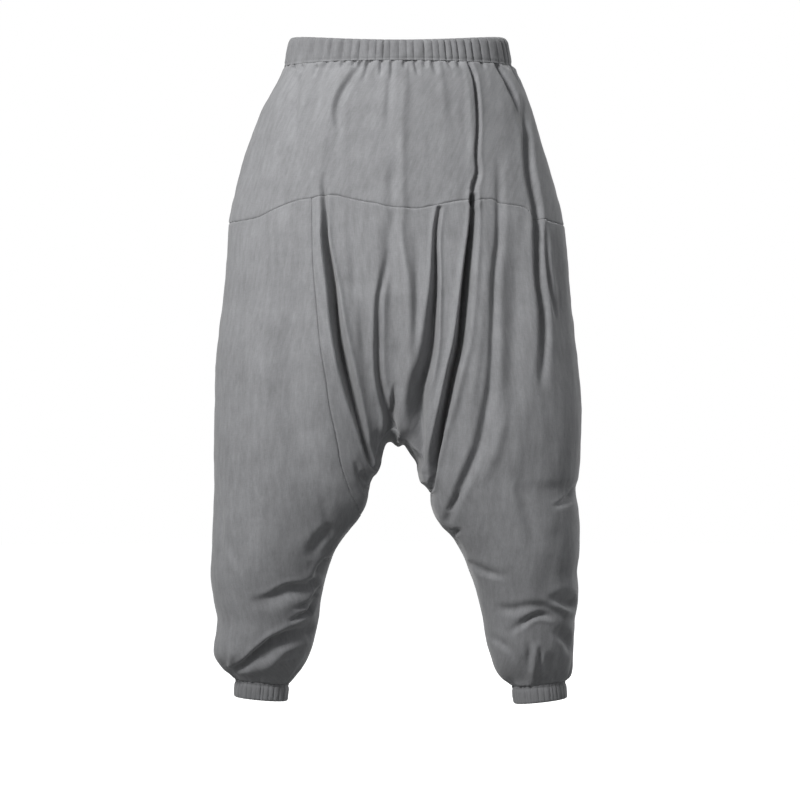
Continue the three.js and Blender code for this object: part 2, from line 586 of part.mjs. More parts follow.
// Half a leg, from the side seam to the centre panel's seam and the inseam, and from
// the yoke seam to the cuff.
const OUTER_BREAK = 612; // down the side seam, level with the centre panel's end
const INSEAM_EASE = 6; // rows over which the columns spread to suit the inseam
function legPanel(side, name) {
  const columns = yokeColumns(side);
  const from = name === "right" ? 0 : LEG_COLUMNS + CENTRE_COLUMNS;
  const tops = columns.slice(from, from + LEG_COLUMNS + 1);
  if (name === "left") tops.reverse();
  const cuff = CUFFS[name];
  const seamEnd = INSEAM[name][0];
  const sideTop = YOKE_SIDE_DOWN[name];
  const innerTop = yokeSeam[side](tops.at(-1));
  const rows = SEAM_ROWS + SHIN_ROWS;
  const downEdge = (r, start, middle, cuffAcross) =>
    r <= SEAM_ROWS
      ? mix(start, middle, easedDown(r / SEAM_ROWS))
      : mix(middle, cuffTop(cuff, cuffAcross), (r - SEAM_ROWS) / SHIN_ROWS);
  const cuffEdges = [cuff.centre + Math.sign(cuff.centre) * cuff.half,
    cuff.centre - Math.sign(cuff.centre) * cuff.half];
  const grid = counted(rows, (_, r) => {
    const outerDown = downEdge(r, sideTop, OUTER_BREAK, cuffEdges[0]);
    const innerDown = downEdge(r, innerTop, seamEnd.down, cuffEdges[1]);
    return counted(LEG_COLUMNS, (s, c) => {
      const both = smooth((r - SEAM_ROWS) / INSEAM_EASE + 1);
      const share = mix(fromOneSide(s), fromBothSides(s), both);
      const sag = yokeSeam[side](tops[c]) - mix(sideTop, innerTop, share);
      const down = mix(outerDown, innerDown, share) + sag * (1 - clamp01(r / SEAM_ROWS));
      const inner = r < SEAM_ROWS ? centreSeam[side][name](down) : inseam[name](down);
      let across = mix(edge[name](down), inner, share);
      if (r === 0) across = tops[c];
      if (r === rows) across = mix(...cuffEdges, share);
      const onSeam = c === 0 || (c === LEG_COLUMNS && r >= SEAM_ROWS);
      return cloth(side, across, down, onSeam);
    });
  });
  return trimmed(grid);
}

// A ring of gathered casing. Its cross-section is a list of {share, inset} rows from
// the top down, and its gathers are a list of {angle, proud} around it.
const casing = (gathered, rows, place) =>
  rows.map((row) =>
    gathered.map(({ angle, proud }) => ({
      outer: place(angle, row.share, proud - row.inset),
      inner: place(angle, row.share, proud / 2 - CASING_WALL),
    })),
  );

// Gathers with flat crests between the listed creases.
function bandGathers() {
  const ring = [...BAND_CREASES, ...BAND_CREASES.map((c) => ({ ...c, degrees: c.degrees + 180 }))];
  const first = ring[0];
  ring.push({ ...first, degrees: first.degrees + 360 });
  return ring.slice(0, -1).flatMap((crease, i) =>
    Array.from({ length: BAND_GATHERS.samples }, (_, k) => {
      const t = k / BAND_GATHERS.samples;
      const next = ring[i + 1];
      const depth = BAND_GATHERS.depth * mix(crease.share, next.share, t);
      return {
        angle: THREE.MathUtils.degToRad(mix(crease.degrees, next.degrees, t) - 180),
        proud: -depth * (1 - Math.sqrt(Math.sin(Math.PI * t))),
      };
    }),
  );
}

function waistband() {
  const rows = [{ share: 0, inset: 0.8 }, { share: 1, inset: 0 }];
  return casing(bandGathers(), rows, (angle, share, proud) => {
    const width = mix(BAND_HALF_WIDTH.top, BAND_HALF_WIDTH.bottom, share) + proud;
    const depth = mix(BAND_HALF_DEPTH.top, BAND_HALF_DEPTH.bottom, share) + proud;
    const top = BAND_TOP + FRONT_DIP * Math.max(0, -Math.sin(angle)) ** 2;
    const down = mix(top, BAND_BOTTOM - SEAM_GAP / 2, share);
    const x = BAND_CENTRE + width * Math.cos(angle);
    return new THREE.Vector3(x, depth * Math.sin(angle), -down);
  });
}

function ankleCuff(name) {
  const cuff = CUFFS[name];
  const lean = Math.atan(cuff.slope);
  const { count, samples, depth } = CUFF_GATHERS;
  const gathered = Array.from({ length: count * samples }, (_, k) => {
    const angle = gatherAngle(k / samples, count);
    return { angle, proud: depth * gatherDepth(angle) * (gatherWave(angle, count) - 1) };
  });
  const rows = [{ share: 0, inset: 0 }, { share: 1, inset: 0 }];
  return casing(gathered, rows, (angle, share, proud) => {
    const down = mix(SEAM_GAP / 2, CUFF_HEIGHT, share);
    const x = (cuff.half + proud) * Math.cos(angle);
    return new THREE.Vector3(
      cuff.centre + x * Math.cos(lean) - down * Math.sin(lean),
      cuff.y + (CUFF_HALF_DEPTH + proud) * Math.sin(angle),
      -(cuff.down + x * Math.sin(lean) + down * Math.cos(lean)),
    );
  });
}

const clothGrey = new THREE.MeshStandardMaterial({
  name: "cloth", color: 0x8a8a8c, roughness: 0.95, metalness: 0,
});
const casingGrey = new THREE.MeshStandardMaterial({
  name: "casing", color: 0x828284, roughness: 0.95, metalness: 0,
});

const pants = new THREE.Group();
function add(name, geometry, material) {
  const mesh = new THREE.Mesh(geometry, material);
  mesh.name = name;
  pants.add(mesh);
}

add("waistband", wall(waistband(), { ring: true }), casingGrey);
for (const side of ["front", "back"]) {
  const flip = side === "back";
  add(`yoke_${side}`, wall(yoke(side), { flip }), clothGrey);
  add(`centre_panel_${side}`, wall(centrePanel(side), { flip }), clothGrey);
  add(`right_leg_${side}`, wall(legPanel(side, "right"), { flip }), clothGrey);
  add(`left_leg_${side}`, wall(legPanel(side, "left"), { flip: !flip }), clothGrey);
}
for (const name of ["right", "left"])
  add(`${name}_cuff`, wall(ankleCuff(name), { ring: true }), casingGrey);

export default pants;
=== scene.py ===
# %% [markdown]
# # Drop-crotch trousers, standing open as if worn
#
# The garment is grey cotton and linen: a gathered elastic waistband, a yoke, a pleated
# centre panel that hangs low between full legs, and elastic ankle cuffs. It is held at
# the waist and filled out, with nobody in it.
#
# The cloth panels are all cut from one surface. A point of it is named by where it lies
# seen from the front: "across" to the wearer's left and "down" from the waist's origin.
# The front of the garment faces -Y. Sizes are in millimetres until a mesh is made.
#
# The form of worn cloth could be found by a cloth simulation, but its folds would then
# fall where they like. Here every fold has its own place, so all of it is worked out by
# formulas on grids of points.

# %% Imports
import math

import bpy
import numpy as np
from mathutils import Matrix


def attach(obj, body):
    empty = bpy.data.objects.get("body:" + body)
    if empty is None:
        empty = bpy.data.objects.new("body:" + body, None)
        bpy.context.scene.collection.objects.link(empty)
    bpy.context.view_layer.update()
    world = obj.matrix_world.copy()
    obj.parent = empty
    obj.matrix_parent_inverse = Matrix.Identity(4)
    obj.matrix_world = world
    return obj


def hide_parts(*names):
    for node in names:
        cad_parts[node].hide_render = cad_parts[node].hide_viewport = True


# %% [markdown]
# A plain solid model of the same garment is the fixed frame. Every piece that is made
# here takes the place of one of its pieces, on the same origin, at the waist.

# %% The frame
MM = 0.001
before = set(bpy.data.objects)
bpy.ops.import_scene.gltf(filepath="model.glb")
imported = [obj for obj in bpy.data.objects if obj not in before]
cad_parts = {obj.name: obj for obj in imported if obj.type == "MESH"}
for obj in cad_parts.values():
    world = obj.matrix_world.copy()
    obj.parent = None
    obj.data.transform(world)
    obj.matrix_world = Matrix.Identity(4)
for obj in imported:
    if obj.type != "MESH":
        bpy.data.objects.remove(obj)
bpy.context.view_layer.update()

# %% [markdown]
# The camera looks straight at the front, at the garment's middle height. A camera close
# by would hide the sides behind the front, so it stands 5 m away with a long lens, whose
# length follows from the width that it has to take in.

# %% Camera
DISTANCE = 5.0
VIEW_WIDTH = 1.088  # metres across the view at the waist's distance
VIEW_X, VIEW_Z = 0.0041, -0.4726  # the view's middle in metres
SENSOR = 36.0
camera = bpy.data.objects.new("camera", bpy.data.cameras.new("camera"))
bpy.context.scene.collection.objects.link(camera)
camera.location = (VIEW_X, -DISTANCE, VIEW_Z)
camera.rotation_euler = (math.radians(90), 0, 0)
camera.data.sensor_width = SENSOR
camera.data.lens = SENSOR * DISTANCE / VIEW_WIDTH
bpy.context.scene.camera = camera
print(f"lens: {camera.data.lens:.0f} mm")

# %% [markdown]
# ## The sizes
#
# On a body the cloth stands out from its side seams, is deepest at the seat and hangs in
# over the crotch. It could be sculpted by hand, but sizes listed by height keep the
# outline exact and are easy to change.
#
# They are the side seams as seen from the front, and the cloth's depth: its middle plane,
# how far it stands out to the front and the back, how far in from the side seam and from
# the crotch it has rounded to that depth, and the "lip", the share of its depth that it
# has close above the crotch, where the cloth hangs flat to a sharp edge.

# %% Side seams and depths
OUTLINE = np.array([
    # down, right, left
    (20, -154.5, 158.5), (41, -164, 170), (71, -180, 182), (120, -199, 197),
    (185, -217, 216), (234, -228, 228), (283, -232.5, 233.5), (332, -236, 237),
    (381, -242, 241.5), (430, -247, 246), (479, -247.5, 250), (528, -248, 250.5),
    (577, -247.5, 247.5), (593, -247.5, 243.5), (626, -248.5, 247.5), (675, -250.5, 247.5),
    (707, -252.5, 244.5), (740, -249, 245.5), (772, -244, 241), (805, -249, 239.5),
    (821, -248.5, 239), (838, -236, 237.5), (847, -226, 235), (856, -220, 229.2),
    (880, -220, 229.2),
])
BODY_COLUMNS = ("middle", "front", "back", "side", "crotch", "lip")
BODY = np.array([
    # down, middle, front, back, side, crotch, lip
    (20, 0, 107, 107, 156, 230, 0.5), (41, 0, 111, 114, 166, 230, 0.5),
    (71, 0, 115, 120, 181, 230, 0.5), (120, 0, 118, 127, 198, 230, 0.5),
    (185, 0, 121, 133, 208, 225, 0.5), (234, 0, 122, 135, 204, 220, 0.5),
    (332, -2, 124, 132, 184, 205, 0.5), (430, -4, 124, 126, 157, 180, 0.5),
    (528, -6, 118, 116, 126, 140, 0.5), (577, -7, 112, 108, 112, 116, 0.5),
    (626, -8, 104, 101, 100, 100, 0.4), (675, -7, 95, 93, 84, 84, 0.3),
    (707, -5, 89, 88, 76, 76, 0.2), (740, -2, 82, 81, 71, 71, 0.1), (772, 1, 76, 75, 66, 66, 0),
    (805, 3, 69, 69, 62, 62, 0), (821, 4, 63, 63, 58, 58, 0), (838, 5, 52, 52, 50, 50, 0),
    (847, 5, 44, 44, 43, 43, 0), (857, 5, 37.5, 37.5, 37, 37, 0), (880, 5, 37, 37, 36.5, 36.5, 0),
])
print(f"widest: {np.ptp(OUTLINE[:, 1:], axis=1).max()} mm, "
      f"deepest: {BODY[:, 2:4].sum(1).max()} mm")

# %% [markdown]
# The panels are sewn together along seams: the inseams, the crotch seam between them, the
# two seams of the centre panel and the yoke seam, front and back. A seam could be a
# groove cut into one large mesh, but then the panels couldn't be picked out one by one,
# so each seam is a line where two panels end at the same points.

# %% Seams
INSEAM = {
    # rows of (down, across)
    "right": [(629, -49), (636, -53.5), (650, -65), (675, -83), (707, -94.5), (740, -102.5),
              (772, -106), (805, -114), (821, -120), (838, -130), (850, -141), (858, -147),
              (880, -147)],
    "left": [(600, 45), (616, 46), (632, 52), (644, 61), (655, 73), (675, 86), (704, 98.5),
             (740, 110.5), (772, 118), (805, 124), (821, 128.5), (838, 134), (852, 144),
             (862, 156), (880, 156.2)],
}
CROTCH = [
    # rows of (across, down), as in the yoke seam
    (-49, 629), (-41, 611.5), (-37.8, 598.5), (-35.2, 585.5), (-31.8, 577.3), (-26.1, 572),
    (-22.2, 564.5), (-20.2, 552.8), (-16.8, 540), (-13, 532.3), (-8, 530.8), (-2.7, 534.6),
    (1.9, 537), (8.8, 534.5), (12.9, 539.8), (19.4, 549.6), (25, 559), (27.6, 572),
    (31.1, 585), (39, 592), (45, 600),
]
RIGHT_SEAM = [
    (258, -112.5), (298, -111), (331, -108), (398, -101.5), (446, -94), (483, -89),
    (524, -80.5), (560, -74), (588, -65), (604, -59), (629, -49),
]
CENTRE_SEAMS = {
    # rows of (down, across)
    ("front", "right"): [(204, -113)] + RIGHT_SEAM,
    ("front", "left"): [
        (207, 101), (249, 99.5), (290, 95.5), (347, 89), (395, 83), (433, 74.5),
        (481, 64), (522, 55), (561, 48.5), (600, 45)],
    ("back", "right"): [(207, -113)] + RIGHT_SEAM,
    ("back", "left"): [
        (207, 113), (258, 112), (298, 110), (347, 105), (398, 99), (446, 90),
        (483, 82), (524, 71), (561, 59), (600, 45)],
}
YOKE_SEAM = {
    "front": [(-228, 232.5), (-205, 230.5), (-186, 227), (-167, 218.5), (-143, 209.5),
              (-130, 205.7), (-113, 203.5), (-102, 200.8), (-81, 200.3), (-68, 203.5),
              (-42, 209), (-26, 211.7), (-13, 215), (11, 217.3), (27, 218), (40, 216),
              (57, 212.4), (67, 210.5), (89, 206.5), (101, 206.8), (127, 205), (136, 208.6),
              (148, 211.4), (161, 212.8), (173, 216.5), (179, 223.5), (187, 228.8),
              (199, 230), (210, 233), (228, 235)],
    "back": [(-228, 232.5), (-150, 213), (-75, 207), (0, 205), (75, 207), (150, 213),
             (228, 235)],
}
print("top of the crotch in mm below the origin:", min(down for _, down in CROTCH))

# %% [markdown]
# The waistband and the cuffs are tubes of cloth round an elastic. They could be bands
# cut from the legs' surface, but an elastic draws its cloth into a ring of its own, so
# they are rings. The band dips at the front, and each cuff is a little lower on its inner
# side, because the legs stand apart.

# %% Waistband and cuffs
SEAM_GAP = 0.3  # between the yoke and the waistband, and half of it above each cuff
BAND_TOP, BAND_BOTTOM = -19.0, 20.0
FRONT_DIP = 11.0  # the band's top is this much lower at the front
BAND_CENTRE = 1.5  # across
BAND_HALF_WIDTH = (148.0, 155.0)  # at the top, at the bottom
BAND_HALF_DEPTH = (104.0, 107.0)
CUFF_HEIGHT = 24.0
CUFF_HALF_DEPTH = 37.0
CUFF_HALF_WIDTH = 36.5
CUFF_Y = 5.0
CUFFS = {
    # centre across, down, slope
    "right": (-183.5, 855.0, 0.09),
    "left": (192.7, 858.0, -0.11),
}
print(f"waist: about {math.pi * (BAND_HALF_WIDTH[0] + BAND_HALF_DEPTH[0]):.0f} mm round, "
      f"ankles: {math.pi * (CUFF_HALF_WIDTH + CUFF_HALF_DEPTH):.0f} mm")

# %% [markdown]
# ## The folds
#
# Spare cloth falls into folds from the waist and is caught up over the crotch. They could
# be carved with a brush, but a fold that is a line with a width and a depth can be moved
# and changed by its numbers.
#
# Each fold runs along a path of (across, down) points. Its widths and its depths are
# spaced evenly along the path. A depth is inward and a ridge's is negative. A fold that
# leans is steeper on one side: the wearer's right where "lean" is positive and the path
# runs down. Folds that go "through" run on over the crotch seam to the back.

# %% The pleats
PLEATS = [
    # path, widths, depths, lean, through
    # right pleat
    ([(-97, 169), (-97, 193), (-96, 225), (-96, 258), (-92, 284), (-86, 323), (-80, 370),
      (-71, 419), (-58, 471), (-47, 509), (-37, 544), (-28, 567)], (4.5, 3, 3.6, 4.7, 5.5,
      6.2, 5.8, 4, 3), (0, 12, 26, 32, 34, 34, 28, 16, 6), 0.05, 1),
    # left yoke pleat
    ([(96, 21), (102, 38), (105, 55), (107, 78), (108, 106), (106, 144), (108, 170), (103,
      187), (101, 209)], (2.6, 2.3, 2.2, 2.6, 4), (5, 9, 7.5, 7.5, 11), 0.2, 0),
    # left pleat
    ([(102, 201), (102, 225), (100, 249), (95, 290), (89, 347), (83, 395), (74, 433), (64,
      481), (55, 522), (48, 561), (45, 591)], (3.2, 4.4, 5.4, 5.8, 5.4, 4.2, 3), (14, 26, 33,
      35, 33, 25, 9), 0.2, 1),
    # rolled edge of the left pleat
    ([(54, 435), (52, 458), (50, 483), (45, 509), (40, 535), (35, 555), (31, 575)], (5.5, 6,
      6, 5), (0, -6, -7, -4), 0, 1),
    # lit edge of the left pleat
    ([(92, 26), (98, 78), (99, 144), (95, 193)], (3.5, 3.5), (-2, -3, -3, 0), 0, 0),
]
print(len(PLEATS), "folds and edges make the two pleats")

# %% Folds of the centre panel
CENTRE_FOLDS = [
    # path, widths, depths, lean, through
    # centre hollow
    ([(-3, 220), (-9, 260), (-8, 314), (-6, 366), (-5, 400)], (8, 9, 10, 10), (2, 6, 7, 6,
      0), 0, 0),
    # centre groove
    ([(-10, 271), (-20, 318), (-24, 340), (-25, 386), (-25, 420), (-22, 451), (-16, 478),
      (-10, 503), (-7, 532)], (5, 4, 4, 4, 4, 4.5), (0, 6, 9, 10, 11, 7), 0.1, 1),
    # centre notch
    ([(-8, 470), (-7, 506), (-7, 532)], (5, 5), (0, 9, 9), 0, 1),
    # short centre crease
    ([(-2, 451), (-4, 471), (-4, 490), (-4, 524)], (2.6, 3.2), (0, 6, 8, 7), 0, 1),
    # left centre groove
    ([(57, 218), (53, 242), (52, 266), (52, 315), (49, 363), (46, 400), (40, 430), (32,
      458), (28, 493), (28, 526), (28, 556)], (2.8, 3.2, 4.5, 6.5, 8, 8, 6.5), (6, 16, 22, 26,
      27, 20, 8), -0.3, 1),
    # centre ridge
    ([(14, 36), (9, 79), (7, 135), (8, 194), (7, 226), (6, 250), (12, 299), (16, 339), (16,
      386), (13, 433), (8, 483), (6, 533)], (4.5, 4, 4.5, 6, 5), (-1.5, -2.4, -2.6, -5, -6.5,
      -6, -4), 0, 1),
]
print(len(CENTRE_FOLDS), "folds in the centre panel")

# %% Long drags down the left leg
LEFT_DRAGS = [
    # path, widths, depths, lean, through
    # left curved drag
    ([(136, 139), (137, 192), (136, 258), (130, 306), (128, 370), (125, 446), (117, 494),
      (107, 537), (93, 571), (79, 603), (68, 633)], (5.5, 5, 5, 5, 6, 6.5, 6, 5), (0, 3, 5,
      5.5, 5.5, 7, 9, 9, 3), 0.2, 0),
    # left of the curved drag
    ([(117, 186), (117, 300), (109, 393), (98, 486), (88, 539)], (5.5, 5.5), (0, -3, -4, -4,
      0), 0, 0),
    # right of the curved drag
    ([(143, 459), (141, 499), (133, 532), (124, 559), (109, 591)], (5.5, 5.5), (0, -4.5,
      -4.5, 0), 0, 0),
    # left waist drag
    ([(136, 21), (145, 35), (153, 50), (161, 67), (165, 85), (167, 110)], (3.6, 4.2, 5), (6,
      8, 5, 0), -0.2, 0),
    # left side drag
    ([(167, 39), (172, 60), (175, 95), (179, 166), (188, 215), (190, 258), (191, 313), (196,
      350), (197, 386), (194, 462)], (5, 5, 5.5, 5, 5, 5.5, 6), (0, 8, 10, 10, 12, 12, 10, 0),
      -0.2, 0),
    # left side branch
    ([(199, 234), (202, 289), (206, 321), (211, 345), (215, 372)], (3.4, 3.4), (0, 5, 5, 0),
      0, 0),
    # light line beside it
    ([(178, 209), (177, 275)], (2.8, 2.8), (0, -2.5, 0), 0, 0),
]
print(len(LEFT_DRAGS), "drags and lines down the left leg")

# %% Broad hollows
HOLLOWS = [
    # path, widths, depths, lean, through
    # right yoke feeder
    ([(-48, 28), (-64, 47), (-75, 67), (-80, 86), (-78, 105), (-74, 127)], (5, 5), (3, 6, 5,
      0), 0.2, 0),
    # right yoke ridge
    ([(-76, 32), (-83, 71), (-96, 116), (-100, 162), (-102, 193)], (6.5, 6.5), (0, -3.2,
      -3.4, -3.2, 0), 0, 0),
    # right yoke light
    ([(-118, 39), (-124, 77), (-129, 119)], (6, 6), (0, -2.4, 0), 0, 0),
    # left of the centre ridge
    ([(-5, 154), (-9, 210)], (6.5, 6.5), (0, 3.5, 2), 0, 0),
    # right hip hollow
    ([(-178, 54), (-188, 110), (-202, 170), (-216, 222)], (12, 14), (0, 5, 6, 0), 0, 0),
    # right thigh hollow
    ([(-140, 250), (-146, 337), (-144, 418), (-140, 473), (-126, 527), (-116, 582)], (19, 21),
      (0, 5, 9, 11, 9, 0), 0, 0),
    # left thigh hollow
    ([(156, 225), (159, 300), (158, 380), (152, 460), (146, 520)], (13, 15), (0, 6, 7, 5, 0),
      0, 0),
    # crotch hollow
    ([(-4, 333), (-2, 441), (3, 558)], (42, 42), (0, 12, 17, 11), 0, 1),
]
print(len(HOLLOWS), "hollows and soft ridges")

# %% Folds of the left leg
LEFT_LEG_FOLDS = [
    # path, widths, depths, lean, through
    # left side notch
    ([(246, 590), (239, 594), (232, 602), (221, 610), (207, 617)], (4.2, 4.2, 3), (9, 8, 3,
      0), 0.3, 0),
    # left knee fold
    ([(248, 749), (233, 747), (219, 742), (201, 738)], (8, 8, 5), (9, 10, 6, 0), -0.35, 0),
    # left shin fold
    ([(148, 788), (160, 779), (172, 771), (181, 765), (192, 762), (202, 763), (214, 767)],
      (5, 4, 4), (0, 3.5, 7.5, 8, 0), 0.3, 0),
    # left shin drag
    ([(128, 753), (152, 754), (173, 750), (196, 751), (214, 758), (229, 769)], (6, 6), (0,
      3.2, 3, 3.5, 4, 0), 0, 0),
    # left calf hollow
    ([(214, 778), (222, 788), (230, 797), (235, 808)], (7, 7), (0, 7, 8, 4), 0, 0),
    # left ankle ridge
    ([(186, 796), (185, 815), (185, 834), (184, 852)], (4.5, 4), (0, -4.5, -5, -3), 0, 0),
    # left of the ankle ridge
    ([(178, 796), (178, 815), (179, 838)], (4.5, 3.5), (0, 5, 0), 0, 0),
    # right of the ankle ridge
    ([(193, 803), (192, 815), (191, 834)], (3.2, 2.8), (0, 4.5, 0), 0, 0),
    # left ankle hollow
    ([(204, 809), (210, 826), (215, 846)], (7, 7), (0, 4, 3), 0, 0),
]
print(len(LEFT_LEG_FOLDS), "folds at the left knee and ankle")

# %% Folds of the right leg and along the arch
RIGHT_LEG_FOLDS = [
    # path, widths, depths, lean, through
    # right ankle fold
    ([(-226, 838), (-215, 834), (-205, 828), (-192, 817), (-178, 806), (-165, 797), (-145,
      790), (-125, 786), (-112, 787)], (3, 5, 8, 9, 10, 9), (2, 9, 13, 15, 14, 10, 5),
      -0.45, 0),
    # above the ankle fold's tip
    ([(-223, 796), (-223, 816), (-225, 835)], (3.2, 2.8), (0, -3, -2.5), 0, 0),
    # right knee fold
    ([(-113, 722), (-125, 725), (-138, 725), (-148, 726), (-159, 731), (-168, 736), (-183,
      741), (-202, 746)], (7, 8, 7), (6, 8, 7, 3, 0), 0.45, 0),
    # right knee crease
    ([(-102, 727), (-115, 743), (-125, 749), (-139, 752)], (3, 2.6), (4, 6, 5, 0), 0, 0),
    # second knee crease
    ([(-106, 740), (-115, 754), (-118, 760), (-130, 764), (-146, 771)], (3, 2.8), (4, 6.5,
      6, 0), -0.2, 0),
    # inside of the right knee
    ([(-92, 692), (-101, 706), (-112, 719)], (5.5, 5.5), (5, 6, 3), 0, 0),
    # right crotch hollow
    ([(-118, 687), (-111, 671), (-98, 655), (-84, 639)], (7, 6.5), (0, 6, 6, 0), 0.2, 0),
    # right inseam roll
    ([(-104, 692), (-90, 676), (-76, 665)], (3.6, 3.6), (0, -3.5, -2.5), 0, 0),
    # below the inseam roll
    ([(-109, 712), (-101, 698), (-94, 688)], (4.5, 4.5), (0, 5, 4), 0, 0),
    # right arch crease
    ([(-57, 553), (-48, 580), (-40, 596)], (3.6, 3.6), (0, 5, 3), 0, 0),
    # tuck in the right arch
    ([(-47, 566), (-40, 582), (-34, 586)], (3.2, 3.2), (0, 6, 5), 0, 1),
    # right outer line
    ([(-237, 588), (-236, 634), (-236, 696)], (3.4, 3.4), (0, 3.2, 0), 0, 0),
    # right outer light
    ([(-225, 596), (-224, 647), (-221, 707)], (6, 6), (0, -3, 0), 0, 0),
    # left inseam crease
    ([(73, 654), (80, 649), (87, 644)], (3, 2.6), (4, 4, 0), 0, 0),
    # left arch crease
    ([(84, 591), (78, 604), (70, 619)], (2.8, 2.8), (0, 4, 3), 0, 0),
]
print(len(RIGHT_LEG_FOLDS), "folds at the right knee, the right ankle and the arch")

# %% [markdown]
# Creased cloth also has many short, shallow creases: some slant away from the waistband,
# and others cross the yoke and the legs. A bump in the material would do from far off,
# but at the outline and in slanting light only real relief shows, so they are folds too.

# %% Small front creases
FRONT_CREASES = [
    # path, widths, depths, lean, through
    ([(-37, 21), (-46, 51)], (3.6,), (6.5, 4.5, 0), 0, 0),
    ([(-108, 27), (-113, 42)], (3,), (5, 3.5, 0), 0, 0),
    ([(-94, 21), (-98, 30)], (2.8,), (5, 3.5, 0), 0, 0),
    ([(-72, 22), (-75, 31)], (2.8,), (5, 3.5, 0), 0, 0),
    ([(-57, 21), (-59, 29)], (2.6,), (4.5, 3.1, 0), 0, 0),
    ([(-48, 22), (-52, 30)], (2.6,), (4.5, 3.1, 0), 0, 0),
    ([(-20, 21), (-22, 44)], (3,), (5, 3.5, 0), 0, 0),
    ([(-6, 22), (-7, 50)], (3,), (4.5, 3.1, 0), 0, 0),
    ([(11, 20), (9, 32)], (2.8,), (4.5, 3.1, 0), 0, 0),
    ([(25, 23), (29, 42)], (3,), (5, 3.5, 0), 0, 0),
    ([(38, 20), (38, 31)], (2.8,), (4.5, 3.1, 0), 0, 0),
    ([(49, 21), (53, 40)], (3.4,), (4, 2.8, 0), 0, 0),
    ([(69, 20), (74, 30)], (2.8,), (4.5, 3.1, 0), 0, 0),
    ([(-128, 25), (-133, 35)], (2.8,), (4.5, 3.1, 0), 0, 0),
    ([(-143, 25), (-150, 38)], (3,), (4.5, 3.1, 0), 0, 0),
    ([(148, 19), (152, 27)], (2.8,), (4, 2.8, 0), 0, 0),
    ([(115, 20), (119, 29)], (2.8,), (4, 2.8, 0), 0, 0),
    ([(82, 20), (84, 32)], (2.8,), (4, 2.8, 0), 0, 0),
    ([(-134, 40), (-137, 62), (-138, 114)], (5,), (2, 3.5, 0), 0, 0),
    ([(-114, 31), (-122, 60), (-130, 122)], (5,), (-1.5, -3, 0), 0, 0),
    ([(-98, 30), (-103, 50), (-112, 102)], (5,), (1.5, 3, 0), 0, 0),
    ([(-8, 40), (-11, 80), (-13, 118)], (5,), (1.5, 2.5, 0), 0, 0),
    ([(57, 22), (61, 60), (64, 102)], (4.5,), (-1.5, -2.5, 0), 0, 0),
    ([(-120, 560), (-98, 610), (-90, 664)], (6,), (0, 2.5, 0), 0.3, 0),
    ([(-205, 560), (-196, 640), (-206, 700)], (9,), (0, 2.5, 0), 0, 0),
    ([(-232, 640), (-214, 690), (-196, 716)], (6,), (1, 2.5, 0), 0.3, 0),
    ([(-150, 806), (-178, 822), (-200, 838)], (5,), (0, 3, 0), 0.3, 0),
    ([(-122, 808), (-150, 818), (-166, 836)], (5,), (1, 3, 0), 0.2, 0),
    ([(160, 556), (172, 620), (190, 676)], (8,), (0, 3, 0), 0.2, 0),
    ([(100, 694), (124, 706), (150, 708)], (5,), (2, 3.5, 0), 0.3, 0),
    ([(122, 790), (146, 806), (160, 828)], (5,), (1, 3.5, 0), 0.2, 0),
    ([(216, 250), (222, 350), (224, 440)], (8,), (0, 3, 0), 0, 0),
    ([(-130, 250), (-134, 350), (-122, 450)], (9,), (0, 2.5, 0), 0, 0),
    ([(-206, 300), (-214, 400), (-216, 500)], (9,), (0, 2.5, 0), 0, 0),
    ([(-60, 220), (-58, 300), (-50, 380)], (7,), (0, 3, 0), 0.2, 0),
    ([(24, 230), (27, 330), (24, 420)], (6,), (0, 4, 0), 0.2, 0),
    ([(-44, 300), (-44, 400), (-34, 480)], (7,), (0, 4, 0), 0.2, 0),
]
print(len(FRONT_CREASES), "small creases at the front")

# %% [markdown]
# The back could be a mirror of the front, but two equal sides look made up. It has folds
# of its own, those of a seat that hangs in the same way, and they are fewer and broader.

